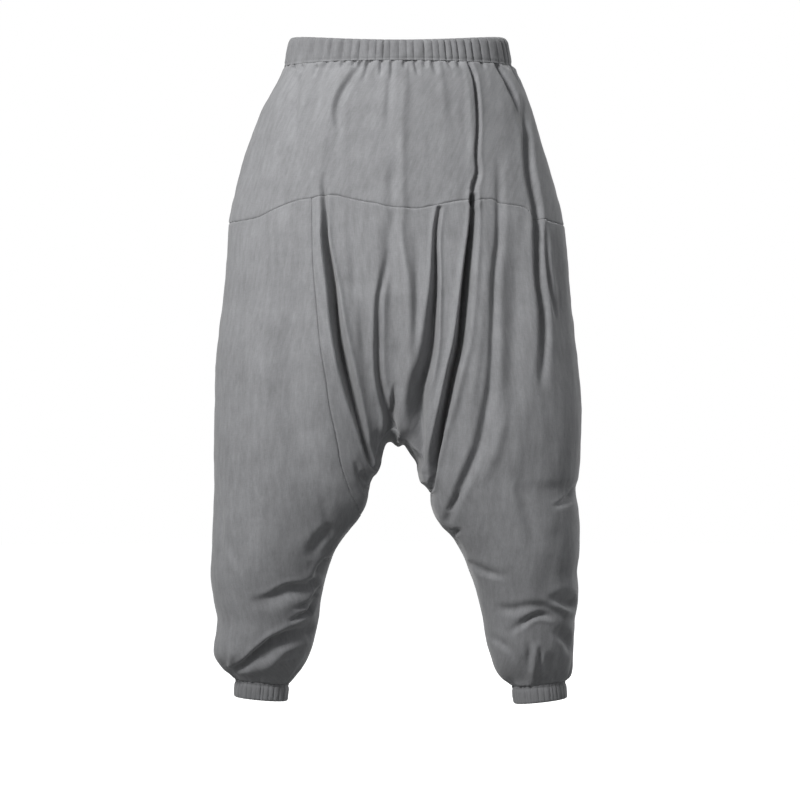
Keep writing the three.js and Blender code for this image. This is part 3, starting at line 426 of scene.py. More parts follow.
# %% Back folds
BACK_FOLDS = [
    # path, widths, depths, lean, through
    ([(-104, 190), (-96, 320), (-70, 450), (-34, 560)], (9,), (0, 13.6, 17, 14, 1.7), 0.3, 0),
    ([(92, 170), (88, 310), (72, 440), (38, 572)], (9,), (0, 14.4, 18, 14.8, 1.8), -0.3, 0),
    ([(-36, 225), (-32, 330), (-24, 430), (-12, 520)], (9,), (0, 8, 10, 8.2, 1), 0.2, 0),
    ([(34, 240), (36, 350), (28, 440), (16, 530)], (9,), (0, 9.6, 12, 9.9, 1.2), -0.2, 0),
    ([(0, 350), (0, 450), (0, 560)], (44,), (0, 12, 15, 13.8, 9), 0, 0),
    ([(-176, 240), (-160, 400), (-112, 560)], (13,), (0, 6.4, 8, 6.4, 0), 0, 0),
    ([(168, 215), (158, 380), (120, 540)], (12,), (0, 6.4, 8, 6.4, 0), 0, 0),
    ([(-110, 690), (-160, 706), (-222, 690)], (7,), (2.7, 7.8, 9, 7.2, 0), 0.4, 0),
    ([(108, 702), (160, 690), (226, 712)], (7,), (2.7, 7.8, 9, 7.2, 0), 0.4, 0),
    ([(-118, 790), (-160, 774), (-214, 790)], (7,), (3.6, 7.9, 9, 7.2, 0), 0.4, 0),
    ([(130, 806), (176, 786), (226, 778)], (7,), (1.8, 7.6, 9, 7.6, 1.8), 0.4, 0),
    ([(-120, 22), (-132, 100), (-150, 190)], (9,), (2.8, 5, 5.5, 4.4, 0), 0, 0),
    ([(112, 22), (122, 90), (150, 180)], (8,), (2.8, 5, 5.5, 4.4, 0), 0, 0),
    ([(-60, 22), (-64, 80), (-70, 150)], (7,), (2.4, 3.7, 4, 3.2, 0), 0.2, 0),
    ([(10, 22), (4, 90), (0, 170)], (7,), (2.4, 3.7, 4, 3.2, 0), 0, 0),
    ([(60, 22), (62, 70), (60, 130)], (7,), (2.4, 3.7, 4, 3.2, 0), -0.2, 0),
    ([(-6, 230), (-2, 330), (2, 420)], (7,), (0, -3.2, -4, -3.2, 0), 0, 0),
    ([(-66, 240), (-62, 340), (-46, 440)], (7,), (0, 3.2, 4, 3.2, 0), 0.2, 0),
    ([(62, 250), (62, 350), (50, 450)], (7,), (0, 3.2, 4, 3.2, 0), -0.2, 0),
    ([(-130, 560), (-150, 640), (-160, 690)], (8,), (0, 2.4, 3, 2.4, 0), 0, 0),
    ([(140, 560), (150, 630), (176, 680)], (8,), (0, 2.4, 3, 2.4, 0), 0, 0),
    ([(-212, 300), (-220, 400), (-214, 520)], (9,), (0, 2.8, 3.5, 2.8, 0), 0, 0),
    ([(210, 290), (216, 400), (216, 500)], (9,), (0, 2.8, 3.5, 2.8, 0), 0, 0),
    ([(-140, 730), (-170, 746), (-214, 742)], (5,), (0, 3.2, 4, 3.2, 0), 0.3, 0),
    ([(136, 744), (170, 736), (214, 748)], (5,), (0, 3.2, 4, 3.2, 0), 0.3, 0),
    ([(-180, 812), (-196, 830), (-200, 850)], (5,), (0, 2.8, 3.5, 3.2, 1.8), 0, 0),
    ([(180, 812), (190, 832), (190, 852)], (5,), (0, 2.8, 3.5, 3.2, 1.8), 0, 0),
]
print(len(BACK_FOLDS), "folds at the back")

# %% [markdown]
# An elastic gathers its cloth into creases. Even waves round a ring would look turned on
# a lathe, so the creases of the waistband and the cuffs are listed by their angles, at
# the front and again at the back. The cloth beside them only needs a count, a depth and a
# length over which the gathers fade. The crinkles are the small unevenness all over, long
# up and down as in creased linen.

# %% Gathers and crinkles
BAND_CREASES = [
    # degrees from the wearer's right side round the front, share of the depth
    (4, 1), (11, 1.1), (20, 1.4), (30, 1.7), (39.6, 1.5), (48, 1.5), (53, 1.3), (60.3, 1.5),
    (65.5, 1), (70, 1.3), (75, 0.8), (79, 0.8), (82.6, 1.1), (86, 0.6), (90.5, 0.6),
    (94.5, 0.6), (98, 0.6), (103.5, 1), (107.8, 0.6), (111.2, 0.5), (115, 1), (118.4, 0.6),
    (122, 1), (127, 1), (131.5, 1), (137.5, 0.8), (144.3, 0.6), (152, 0.6), (160, 1),
    (166, 1), (173, 0.7),
]
YOKE_GATHERS = [
    # count, depth, length
    (26, 3.2, 34.0),
    (56, 1.7, 13.0),
]
CUFF_CREASES = {
    "right": [(12, 0.5), (24, 0.5), (37, 1), (48, 0.5), (59.6, 0.8), (71.3, 0.8), (81, 0.5),
              (90.5, 1), (96.7, 0.6), (108, 0.5), (120, 1), (134.2, 1), (147.7, 0.8),
              (163, 0.5)],
    "left": [(8, 0.5), (20, 1), (33, 0.5), (45, 0.5), (56, 1), (69.3, 0.8), (86.1, 1),
             (98.6, 0.7), (111.5, 0.9), (118.6, 0.7), (128.5, 1), (140.1, 1), (151, 0.8),
             (165, 0.5)],
}
ANKLE_GATHERS = [
    # count, depth, length
    (12, 2.2, 20.0),
    (28, 1.3, 9.0),
]
CRINKLES = [
    # sizes across, deep and down, depth, seed
    ((46, 60, 150), 1.5, 11),
    ((20, 28, 90), 0.95, 12),
    ((9, 13, 46), 0.42, 13),
    ((5.5, 8, 22), 0.2, 14),
    ((30, 30, 16), 0.35, 15),
]
print("creases round the waistband and the cuffs:", 2 * len(BAND_CREASES),
      *(2 * len(creases) for creases in CUFF_CREASES.values()))

# %% [markdown]
# ## Smooth curves and distances
#
# A size that is listed at some heights has to have a value at every height. Straight
# lines between would show as kinks in the cloth, so the lists become smooth curves that
# go through every row.

# %% Smooth curves
PATH_STEPS = 60  # along a path, for each point that it is given by


def mix(a, b, share):
    """The value at a share of the way from a to b."""
    return a + (b - a) * share


def smooth(share):
    """An eased step: 0 below 0, 1 above 1, and 3s^2 - 2s^3 between."""
    s = np.clip(share, 0, 1)
    return s * s * (3 - 2 * s)


def curve(rows):
    """A smooth curve through rows of (at, value). Between two rows it is the cubic that
    has, at each row, the slope of the line between that row's neighbours."""
    at, value = np.asarray(rows, float).T
    last = len(at) - 1
    before = np.maximum(np.arange(len(at)) - 1, 0)
    after = np.minimum(np.arange(len(at)) + 1, last)
    slope = (value[after] - value[before]) / (at[after] - at[before])

    def read(where):
        where = np.clip(where, at[0], at[-1])
        i = np.clip(np.searchsorted(at, where, side="right") - 1, 0, last - 1)
        span = at[i + 1] - at[i]
        t = (where - at[i]) / span
        leave = t * (1 - t) ** 2 * slope[i]
        arrive = t * t * (t - 1) * slope[i + 1]
        return mix(value[i], value[i + 1], t * t * (3 - 2 * t)) + span * (leave + arrive)

    return read


def along(points, count):
    """Points evenly spaced along the smooth path through the given points. Each of its
    coordinates is a smooth curve over the straight distances between the points, and the
    path is then cut into equal lengths."""
    points = np.asarray(points, float)
    chord = np.concatenate([[0], np.cumsum(np.hypot(*np.diff(points, axis=0).T))])
    fine = np.linspace(0, chord[-1], PATH_STEPS * len(points))
    dense = [curve(np.column_stack([chord, points[:, k]]))(fine) for k in (0, 1)]
    steps = np.hypot(*np.diff(dense, axis=1))
    length = np.concatenate([[0], np.cumsum(steps)])
    even = np.linspace(0, length[-1], count + 1)
    return np.column_stack([np.interp(even, length, one) for one in dense])


print("an eased step:", smooth(np.linspace(0, 1, 5)).round(2).tolist())

# %% [markdown]
# A fold needs, for each point of the cloth, the nearest place on the fold's line. It
# gives the distance, which side of the line the point is on, how far along the line it
# is, and the direction in which the distance grows. Straight stretches are exact and
# quick enough, and whole blocks of points are done at once.

# %% Nearest place on a line
BLOCK = 4000  # points done at a time, to save memory
TOUCHING = 1e-6  # closer than this, the slope is taken from the line


def nearest(line, across, down):
    """For each point: signed distance, share along the line, and the signed distance's
    slope across and down. On each straight stretch from a with a run r the share is
    (point - a) . r / r^2, kept between 0 and 1, and the stretch with the smallest gap
    counts. The sign is positive on the left of the line as it is walked, with "down"
    pointing down."""
    start = line[:-1]
    run = np.diff(line, axis=0)
    run2 = (run ** 2).sum(1)
    flat = np.column_stack([np.ravel(across), np.ravel(down)])
    result = np.empty((len(flat), 4))
    for first in range(0, len(flat), BLOCK):
        point = flat[first:first + BLOCK, None, :] - start
        t = np.clip((point * run).sum(2) / run2, 0, 1)
        gap = point - t[..., None] * run
        best = (gap ** 2).sum(2).argmin(1)
        row = np.arange(len(best))
        gap, t = gap[row, best], t[row, best]
        point, step = point[row, best], run[best]
        away = np.hypot(*gap.T)
        side = np.where(step[:, 0] * point[:, 1] - step[:, 1] * point[:, 0] < 0, 1, -1)
        unit = np.column_stack([step[:, 1], -step[:, 0]]) / np.hypot(*step.T)[:, None]
        near = away < TOUCHING
        slope = gap / np.where(near, 1, away)[:, None] * side[:, None]
        slope[near] = unit[near]
        result[first:first + BLOCK] = np.column_stack(
            [away * side, (best + t) / len(run), slope])
    return [one.reshape(np.shape(across)) for one in result.T]


beside, halfway, _, _ = nearest(np.array([(0.0, 0.0), (0.0, 10.0)]), 3.0, 5.0)
print(f"a point 3 mm beside the middle of a line: {beside} mm, at {halfway} of it")

# %% [markdown]
# ## The smooth surface
#
# Without its folds the garment is a smooth, filled out form. It could be lofted through
# rings, but the two legs part at the crotch, where rings don't fit. So the depth is a
# formula of the place seen from the front: seen from above, the cloth rounds like an
# ellipse from each side seam to its full depth, and again towards the crotch arch, so
# front and back meet at all three.

# %% Curves of the sizes
edge = {"right": curve(OUTLINE[:, (0, 1)]), "left": curve(OUTLINE[:, (0, 2)])}
body = {name: curve(BODY[:, (0, i + 1)]) for i, name in enumerate(BODY_COLUMNS)}
inseam = {name: curve(rows) for name, rows in INSEAM.items()}
centre_seam = {key: curve(rows) for key, rows in CENTRE_SEAMS.items()}
yoke_seam = {side: curve(rows) for side, rows in YOKE_SEAM.items()}
print(f"right and left edge at the knees: {edge['right'](700):.1f}, {edge['left'](700):.1f} mm")

# %% [markdown]
# The crotch and the inseams make one arch. Seen closely it has small bends, and a
# distance from it would spread each of them over the cloth as a ridge. So far from the
# arch the distance is taken from a softened copy of it.

# %% The crotch arch
ARCH_END, ARCH_STEP, CROTCH_STEPS = 900, 1.5, 200  # lowest point, spacing, parts
SOFT_REACH = 22.0  # over which the softened arch is averaged
AVERAGE_STEP, SOFT_STEP = 3.0, 4.0  # spacing of what is averaged, and of the result
SOFT_FROM, SOFT_OVER = 1.0, 22.0  # where the softened arch starts, and takes over


def arch_line():
    """The whole arch: up the right inseam, over the crotch and down the left inseam."""
    right_down = np.arange(ARCH_END, CROTCH[0][1], -ARCH_STEP)
    left_down = np.arange(CROTCH[-1][1] + ARCH_STEP, ARCH_END, ARCH_STEP)
    return np.concatenate([
        np.column_stack([inseam["right"](right_down), right_down]),
        along(CROTCH, CROTCH_STEPS),
        np.column_stack([inseam["left"](left_down), left_down]),
    ])


def softened(line, reach):
    """The same line with its small bends averaged out: each point is the mean of those
    at distances s along it, with the weights e^(-(s / reach)^2 / 2)."""
    steps = np.arange(-2 * reach, 2 * reach + 1, AVERAGE_STEP)
    weight = np.exp(-0.5 * (steps / reach) ** 2)
    run = np.concatenate([[0], np.cumsum(np.hypot(*np.diff(line, axis=0).T))])
    at = np.arange(0, run[-1], SOFT_STEP)[:, None] + steps
    return np.column_stack([
        (np.interp(at, run, line[:, k]) * weight).sum(1) / weight.sum() for k in (0, 1)])


ARCH = arch_line()
SOFT_ARCH = softened(ARCH, SOFT_REACH)
print(len(ARCH), "points on the arch,", len(SOFT_ARCH), "on the softened one")


def above_arch(across, down):
    """How far each place is above the crotch arch or outside an inseam, and the slopes of
    that across and down. Close to the arch it is the true distance, and further off the
    distance from the softened arch, so that small bends leave no ridges in the cloth."""
    near, _, near_across, near_down = nearest(ARCH, across, down)
    far, _, far_across, far_down = nearest(SOFT_ARCH, across, down)
    share = smooth((near - SOFT_FROM) / SOFT_OVER)
    return (mix(near, far, share), mix(near_across, far_across, share),
            mix(near_down, far_down, share))


# %% How full the cloth is
LIP_REACH = 6.0  # how far above the arch the lip has risen
STEP = 0.25  # for slopes worked out by differences


def rounding(share):
    """How far a quarter circle has risen, squared: s(2 - s) up to 1, and then 1."""
    return np.where(share < 1, share * (2 - share), 1)


def arch_rise(above_arch, down):
    """The square of the share of its depth that the cloth has above the arch: the lip
    rises within a short way, and the rest as one long quarter circle."""
    away = np.abs(above_arch)
    slow = np.sqrt(rounding(away / body["crotch"](down)))
    quick = np.sqrt(rounding(away / LIP_REACH))
    return np.sign(above_arch) * mix(slow, quick, body["lip"](down)) ** 2


def fullness(across, down, above_arch):
    """The square of the share of its full depth that the cloth has at a place: its
    rounding from the right edge, times that from the left, times its rise above the
    arch."""
    side = body["side"](down)
    return (rounding((across - edge["right"](down)) / side)
            * rounding((edge["left"](down) - across) / side)
            * arch_rise(above_arch, down))


def slope_of(function):
    """The slope of a function of one step h: (f(h) - f(-h)) / 2h."""
    return (function(STEP) - function(-STEP)) / (2 * STEP)


TEST_DOWN = 450.0  # where the surface is measured, in the middle above the crotch
middle_full = fullness(0.0, TEST_DOWN, above_arch(0.0, TEST_DOWN)[0])
print(f"share of the full depth, {TEST_DOWN:.0f} mm down: {math.sqrt(middle_full):.2f}")


# %% The surface and its normal
SQUARE_EASE = 14.0  # over which the cloth turns square to the waistband and the cuffs


def cuff_of(across):
    """The cuff below each point: its centre, down and slope."""
    return np.where(np.asarray(across)[..., None] < 0, CUFFS["right"], CUFFS["left"])


def above_cuff(across, down):
    """How far a point is above the top of the cuff below it, a straight line at the
    cuff's slope through its centre."""
    centre, top, slope = np.moveaxis(cuff_of(across), -1, 0)
    return top + slope * (across - centre) - down


def bare(side, across, down, on_seam):
    """The surface with no folds: its points, outward normals, fullness and height above
    the arch. The normal is the slope of y^2 - depth^2 * fullness. Near the waistband and
    the cuffs it is turned into their planes."""
    out = -1 if side == "front" else 1
    depth = body[side](down)
    arch, arch_across, arch_down = above_arch(across, down)
    full = np.where(on_seam, 0, np.maximum(0, fullness(across, down, arch)))
    reach = out * depth * np.sqrt(full)
    per_across = slope_of(lambda h: fullness(across + h, down, arch + h * arch_across))
    per_down = slope_of(lambda h: fullness(across, down + h, arch + h * arch_down))
    middle_slope = slope_of(lambda h: body["middle"](down + h))
    depth_slope = slope_of(lambda h: body[side](down + h))
    pull = 2 * reach / depth ** 2
    normal = np.stack([
        -per_across, pull, pull * middle_slope + pull * reach * depth_slope / depth + per_down,
    ], axis=-1)
    normal /= np.linalg.norm(normal, axis=-1, keepdims=True)
    from_cuff = above_cuff(across, down)
    free = smooth((down - BAND_BOTTOM) / SQUARE_EASE) * smooth(from_cuff / SQUARE_EASE)
    in_plane = np.where(from_cuff < SQUARE_EASE, -cuff_of(across)[..., 2] * normal[..., 0], 0)
    normal[..., 2] = mix(in_plane, normal[..., 2], free)
    normal /= np.linalg.norm(normal, axis=-1, keepdims=True)
    point = np.stack([across, body["middle"](down) + reach, -down], axis=-1)
    return point, normal, full, arch


front_point = bare("front", np.array([0.0]), np.array([TEST_DOWN]), False)[0][0]
print("front of the smooth surface there:", np.round(front_point, 1).tolist())

# %% [markdown]
# ## Folds, gathers and crinkles on it
#
# A fold in real cloth is a trough with the cloth thrown up a little on both sides. The
# formula of a bell curve, turned over at its edges, has the same form and fades out by
# itself, so folds that cross simply add up.

# %% Folds
FOLD_REACH = 4.5  # in widths
FOLD_STEPS = 24  # along a fold's line


def profile(u, depth):
    """A trough with a low shoulder on each side, (1 - u^2/2) e^(-u^2/2), or a ridge that
    is a plain bell, e^(-u^2/2), where the depth is negative."""
    return np.where(depth < 0, 1, 1 - 0.5 * u * u) * np.exp(-0.5 * u * u)


def spread(values, t):
    """The value at t of a list that is spread evenly from 0 to 1."""
    return np.interp(t, np.linspace(0, 1, len(values)), values)


def fold_height(fold, across, down):
    """How far one fold pulls the cloth in or out at each place: its depth there times
    its profile across. A lean makes one side wider and the other narrower."""
    path, widths, depths, lean, _ = fold
    line = along(path, FOLD_STEPS)
    reach = FOLD_REACH * max(widths) * (1 + abs(lean))
    low, high = line.min(0) - reach, line.max(0) + reach
    close = (across > low[0]) & (across < high[0]) & (down > low[1]) & (down < high[1])
    height = np.zeros(np.shape(across))
    if not close.any():
        return height
    away, t, _, _ = nearest(line, across[close], down[close])
    width = spread(widths, t)
    width = width * (1 + lean * np.sin(math.pi * t) * np.tanh(away / width))
    depth = spread(depths, t)
    height[close] = -depth * profile(away / width, depth)
    return height


print(f"a 10 mm trough's shoulder: {-10 * profile(2.0, 10.0):.1f} mm")

# %% [markdown]
# The gathers beside an elastic are waves round the ring. Plain sines would be too even,
# so their spacing and their depth wander with the angle.

# %% Gathers
GATHER_MIDDLE = 0.7  # the level between crease and crest that is left where it was


def wander(angle):
    """An unevenness in how gathers are spaced around a ring: three sines of whole
    numbers of turns, so that the ring closes."""
    return (1.1 * np.sin(3 * angle + 0.5) + 0.8 * np.sin(7 * angle + 1)
            + 0.5 * np.sin(13 * angle))


def gather_wave(angle, count):
    """Waves around a ring, each a half sine, |sin((n angle + wander) / 2)|: 0 in a crease
    and 1 on a crest."""
    return np.abs(np.sin((count * angle + wander(angle)) / 2))


def gather_depth(angle):
    """An unevenness in how deep gathers are around a ring, again of sines."""
    return 0.8 + 0.3 * np.sin(5 * angle + 2) + 0.2 * np.sin(11 * angle)


def gathers(point, across, down):
    """Gathers that fade away from the waistband and from the cuffs: each is its depth
    times e^(-distance / length) times its wave."""
    waist = np.arctan2(point[..., 1] / BAND_HALF_DEPTH[1], across / BAND_HALF_WIDTH[1])
    from_band = (down - BAND_BOTTOM) / gather_depth(waist + 1)
    from_cuff = np.maximum(0, above_cuff(across, down))
    ankle = np.arctan2(point[..., 1] - CUFF_Y, across - cuff_of(across)[..., 0])
    height = 0
    for count, depth, length in YOKE_GATHERS:
        wave = gather_wave(waist, count) - GATHER_MIDDLE
        height = height + depth * gather_depth(waist) * np.exp(-from_band / length) * wave
    for count, depth, length in ANKLE_GATHERS:
        wave = gather_wave(ankle, count) - GATHER_MIDDLE
        height = height + depth * gather_depth(ankle) * np.exp(-from_cuff / length) * wave
    return height


quarter = np.linspace(0, math.pi / 2, 5)
print("depth of gathers round a quarter:", np.round(gather_depth(quarter), 2).tolist())

# %% [markdown]
# Worn linen is never smooth between its folds. The crinkles are noise of several sizes,
# drawn out up and down. It is read at the cloth's own points in space, so that it runs on
# over every seam.

# %% Crinkles
LATTICE = 32  # points a side of the noise, after which it repeats


def noise(points, seed):
    """Smooth noise from -1 to 1: random values at whole numbers, eased between."""
    lattice = np.random.default_rng(seed).uniform(-1, 1, (LATTICE, LATTICE, LATTICE))
    cell = np.floor(points).astype(int)
    t = points - cell
    t = t * t * (3 - 2 * t)
    total = 0
    for corner in np.ndindex(2, 2, 2):
        i, j, k = np.moveaxis((cell + corner) % LATTICE, -1, 0)
        weight = np.prod(np.where(corner, t, 1 - t), axis=-1)
        total = total + weight * lattice[i, j, k]
    return total


def crinkles(point):
    """The sum of noises of several sizes, each times its depth."""
    return sum(depth * noise(point / np.array(sizes, float), seed)
               for sizes, depth, seed in CRINKLES)


print("deepest crinkle in mm:", round(sum(depth for _, depth, _ in CRINKLES), 2))

# %% [markdown]
# Everything together gives how far the cloth stands proud of the smooth surface. Folds
# die out towards the side seams and inseams, where the cloth is held, and those that go
# through the crotch seam only close to it. At the waistband and the cuffs no fold is deeper
# than the casing that the cloth is sewn to, and it deepens from there.

# %% Relief
SEAM_CALM = 0.22  # fullness at which a fold has its whole depth
THROUGH_REACH = 60.0  # how far up the back a fold goes from the crotch seam
RIM_REACH = 7.0  # how quickly such a fold gets its depth above the seam
HELD_DEPTH, HELD_SLOPE = 0.8, 1.6  # deepest at a casing, and deeper for each mm from it
FOLDS = {
    "front": (PLEATS + CENTRE_FOLDS + LEFT_DRAGS + HOLLOWS + LEFT_LEG_FOLDS
              + RIGHT_LEG_FOLDS + FRONT_CREASES),
    "back": BACK_FOLDS,
}
print(len(FOLDS["front"]), "front folds in all,", len(FOLDS["back"]), "at the back")


def relief(side, across, down, point, full, arch):
    """The height of folds, gathers and crinkles at each place: their sum, and nowhere
    lower than the held depth allows."""
    calm = smooth(full / SEAM_CALM)
    over = 1 - smooth(arch / THROUGH_REACH)
    rim = 1 - np.exp(-np.maximum(0, arch) / RIM_REACH)
    height = gathers(point, across, down) + crinkles(point)
    for fold in FOLDS[side]:
        height += fold_height(fold, across, down) * (rim if fold[-1] else calm)
    if side == "back":
        for fold in FOLDS["front"]:
            if fold[-1]:
                height += fold_height(fold, across, down) * over * rim
    held = np.minimum(down - BAND_BOTTOM, above_cuff(across, down))
    return np.maximum(height, -HELD_DEPTH - HELD_SLOPE * np.maximum(0, held))


# %% [markdown]
# ## The panels' grids
#
# Each panel is cut with four sides, so it can be one grid of rows and columns. A mesh
# with free triangles could follow any outline, but on a grid the cloth's own width and
# length are known at every point, which the weave needs. A grid point is given by its
# (across, down) place, and the panels that meet at a seam have the same points there.

# %% Grid sizes
FINE = 1.0
LEG_COLUMNS = int(92 * FINE)
CENTRE_COLUMNS = int(150 * FINE)
YOKE_ROWS = int(78 * FINE)
SEAM_ROWS = int(160 * FINE)
SHIN_ROWS = int(100 * FINE)
OUTER_BREAK = 612.0  # down the side seam, level with the centre panel's end
INSEAM_EASE = 0.27  # share of the seam rows over which columns spread to the inseam
DOWN_EASE = 0.65  # how much the rows bunch towards the seams

yoke_side = {"right": YOKE_SEAM["front"][0][1], "left": YOKE_SEAM["front"][-1][1]}
yoke_end = {name: float(edge[name](yoke_side[name])) for name in ("right", "left")}


def from_one_side(t):
    """Shares that bunch towards 0: 1 less the cosine of t quarter turns."""
    return 1 - np.cos(t * math.pi / 2)


def from_both_sides(t):
    """Shares that bunch towards 0 and 1: half of 1 less the cosine of t half turns."""
    return (1 - np.cos(t * math.pi)) / 2


def seam_to_seam(t):
    """Even shares that come a little closer together towards 0 and 1."""
    return mix(t, from_both_sides(t), DOWN_EASE)


def yoke_columns(side):
    """Where the columns meet the yoke seam: leg, centre panel, leg."""
    right = CENTRE_SEAMS[side, "right"][0][1]
    left = CENTRE_SEAMS[side, "left"][0][1]
    t = np.linspace(0, 1, LEG_COLUMNS + 1)
    return np.concatenate([
        mix(yoke_end["right"], right, from_one_side(t)),
        np.linspace(right, left, CENTRE_COLUMNS + 1)[1:],
        mix(left, yoke_end["left"], 1 - from_one_side(1 - t))[1:],
    ])


print(len(yoke_columns("front")), "columns from side seam to side seam")


# %% Yoke and centre panel
def yoke_grid(side):
    """The yoke, from the waistband to the yoke seam. Down each column it is the mix of
    its two ends, and along each row that of the two side seams."""
    bottom = yoke_columns(side)
    share = (bottom - yoke_end["right"]) / (yoke_end["left"] - yoke_end["right"])
    t = seam_to_seam(np.linspace(0, 1, YOKE_ROWS + 1))[:, None]
    top = BAND_BOTTOM + SEAM_GAP / 2
    down = mix(top, yoke_seam[side](bottom), t)
    right = edge["right"](mix(top, yoke_side["right"], t))
    left = edge["left"](mix(top, yoke_side["left"], t))
    on_seam = np.zeros(down.shape, bool)
    on_seam[:, (0, -1)] = True
    return mix(right, left, share), down, on_seam


def centre_grid(side):
    """The centre panel, from the yoke seam to the crotch seam. It blends its four edges:
    the mix of top and bottom, plus the mix of both sides, less that of the corners."""
    columns = yoke_columns(side)[LEG_COLUMNS:LEG_COLUMNS + CENTRE_COLUMNS + 1]
    top = np.column_stack([columns, yoke_seam[side](columns)])
    crotch = along(CROTCH, CENTRE_COLUMNS)
    t = seam_to_seam(np.linspace(0, 1, SEAM_ROWS + 1))
    sides = []
    for name, end in (("right", 0), ("left", -1)):
        down = mix(top[end, 1], crotch[end, 1], t)
        across = centre_seam[side, name](down)
        across[0], across[-1] = top[end, 0], crotch[end, 0]
        sides.append(np.column_stack([across, down]))
    s = np.linspace(0, 1, CENTRE_COLUMNS + 1)[None, :, None]
    t = t[:, None, None]
    right, left = sides[0][:, None], sides[1][:, None]
    corners = mix(mix(top[0], top[-1], s), mix(crotch[0], crotch[-1], s), t)
    place = mix(top[None], crotch[None], t) + mix(right, left, s) - corners
    on_seam = np.zeros(place.shape[:2], bool)
    on_seam[-1] = True
    return place[..., 0], place[..., 1], on_seam


print("rows and columns of the centre panel:", centre_grid("front")[0].shape)


# %% Leg panels
def leg_grid(side, name):
    """Half a leg: columns from the side seam to the centre panel and the inseam, rows
    from the yoke seam to the cuff. A row is the mix of its outer and its inner end, and
    the sag of the yoke seam dies out down to the crotch's height."""
    columns = yoke_columns(side)
    tops = columns[:LEG_COLUMNS + 1]
    if name == "left":
        tops = columns[LEG_COLUMNS + CENTRE_COLUMNS:][::-1]
    centre, cuff_down, slope = CUFFS[name]
    outward = math.copysign(CUFF_HALF_WIDTH, centre)
    cuff_across = np.array([centre + outward, centre - outward])
    cuff_ends = cuff_down + slope * (cuff_across - centre)
    seam_end = INSEAM[name][0][0]
    starts = np.array([yoke_side[name], yoke_seam[side](tops[-1])])
    middles = np.array([OUTER_BREAK, seam_end])
    r = np.arange(SEAM_ROWS + SHIN_ROWS + 1)
    upper = seam_to_seam(np.clip(r / SEAM_ROWS, 0, 1))[:, None]
    lower = np.clip((r - SEAM_ROWS) / SHIN_ROWS, 0, 1)[:, None]
    ends = mix(mix(starts, middles, upper), cuff_ends, lower)
    s = np.linspace(0, 1, LEG_COLUMNS + 1)
    both = smooth((r / SEAM_ROWS - 1) / INSEAM_EASE + 1)[:, None]
    share = mix(from_one_side(s), from_both_sides(s), both)
    sag = yoke_seam[side](tops) - mix(starts[0], starts[1], share)
    down = mix(ends[:, :1], ends[:, 1:], share) + sag * (1 - np.clip(r / SEAM_ROWS, 0, 1))[:, None]
    lined = (r < SEAM_ROWS)[:, None]
    inner = np.where(lined, centre_seam[side, name](down), inseam[name](down))
    across = mix(edge[name](down), inner, share)
    across[0] = tops
    across[-1] = mix(*cuff_across, share[-1])
    on_seam = np.zeros(down.shape, bool)
    on_seam[:, 0] = True
    on_seam[SEAM_ROWS:, -1] = True
    return across, down, on_seam


print("rows and columns of half a leg:", leg_grid("front", "left")[0].shape)

# %% [markdown]
# ## From grids to cloth
#
# A panel's edges are drawn in by their stitching: the cloth dips into a narrow groove,
# with small puckers along it. The stitches could be threads one by one, but they are too
# small to show from where the garment is seen, and the groove is what catches the light.

# %% Sewn edges
SEAM_DIP, SEAM_HALF_WIDTH = 1.0, 1.25
PUCKER_DEPTH, PUCKER_REACH, PUCKER_LENGTH = 0.5, 9.0, 11.0
PUCKER_START = 2.0  # how far from the groove puckers begin
PUCKER_SEED = 21


def edge_distances(points):
    """For each grid point, how far it is along its row or column from each of the four
    edges: first row, last row, first column, last column."""
    rows = np.linalg.norm(np.diff(points, axis=0), axis=-1)
    columns = np.linalg.norm(np.diff(points, axis=1), axis=-1)
    from_top = np.pad(np.cumsum(rows, axis=0), ((1, 0), (0, 0)))
    from_start = np.pad(np.cumsum(columns, axis=1), ((0, 0), (1, 0)))
    return (from_top, from_top[-1] - from_top, from_start, from_start[:, -1:] - from_start)


def stitched(points):
    """The dip and the puckers beside each sewn edge of a panel. At a distance d the dip
    is e^(-(d / half width)^2) of its depth, and the puckers are noise along the edge
    times e^(-d / reach)."""
    height = 0
    distances = edge_distances(points)
    for number, distance in enumerate(distances):
        run = distances[2] if number < 2 else distances[0]
        place = np.stack([run / PUCKER_LENGTH, 0 * run + number, 0 * run], -1)
        wave = noise(place, PUCKER_SEED)
        pucker = PUCKER_DEPTH * wave * np.exp(-distance / PUCKER_REACH)
        dip = SEAM_DIP * np.exp(-(distance / SEAM_HALF_WIDTH) ** 2)
        ease = 1 - np.exp(-(distance / PUCKER_START) ** 2)
        height = height + pucker * ease - dip
    return height


print(f"groove 1 mm from a seam: {SEAM_DIP * math.exp(-(1 / SEAM_HALF_WIDTH) ** 2):.2f} mm")

# %% [markdown]
# Cloth has a thickness, and its edge shows inside the waist. A Solidify modifier could
# give it, but would thicken each panel by its own faces alone, and the inner edges of
# neighbours would part. So the inner face is made from the same grid and the same
# normals, and both are joined at their rims into one closed shell.

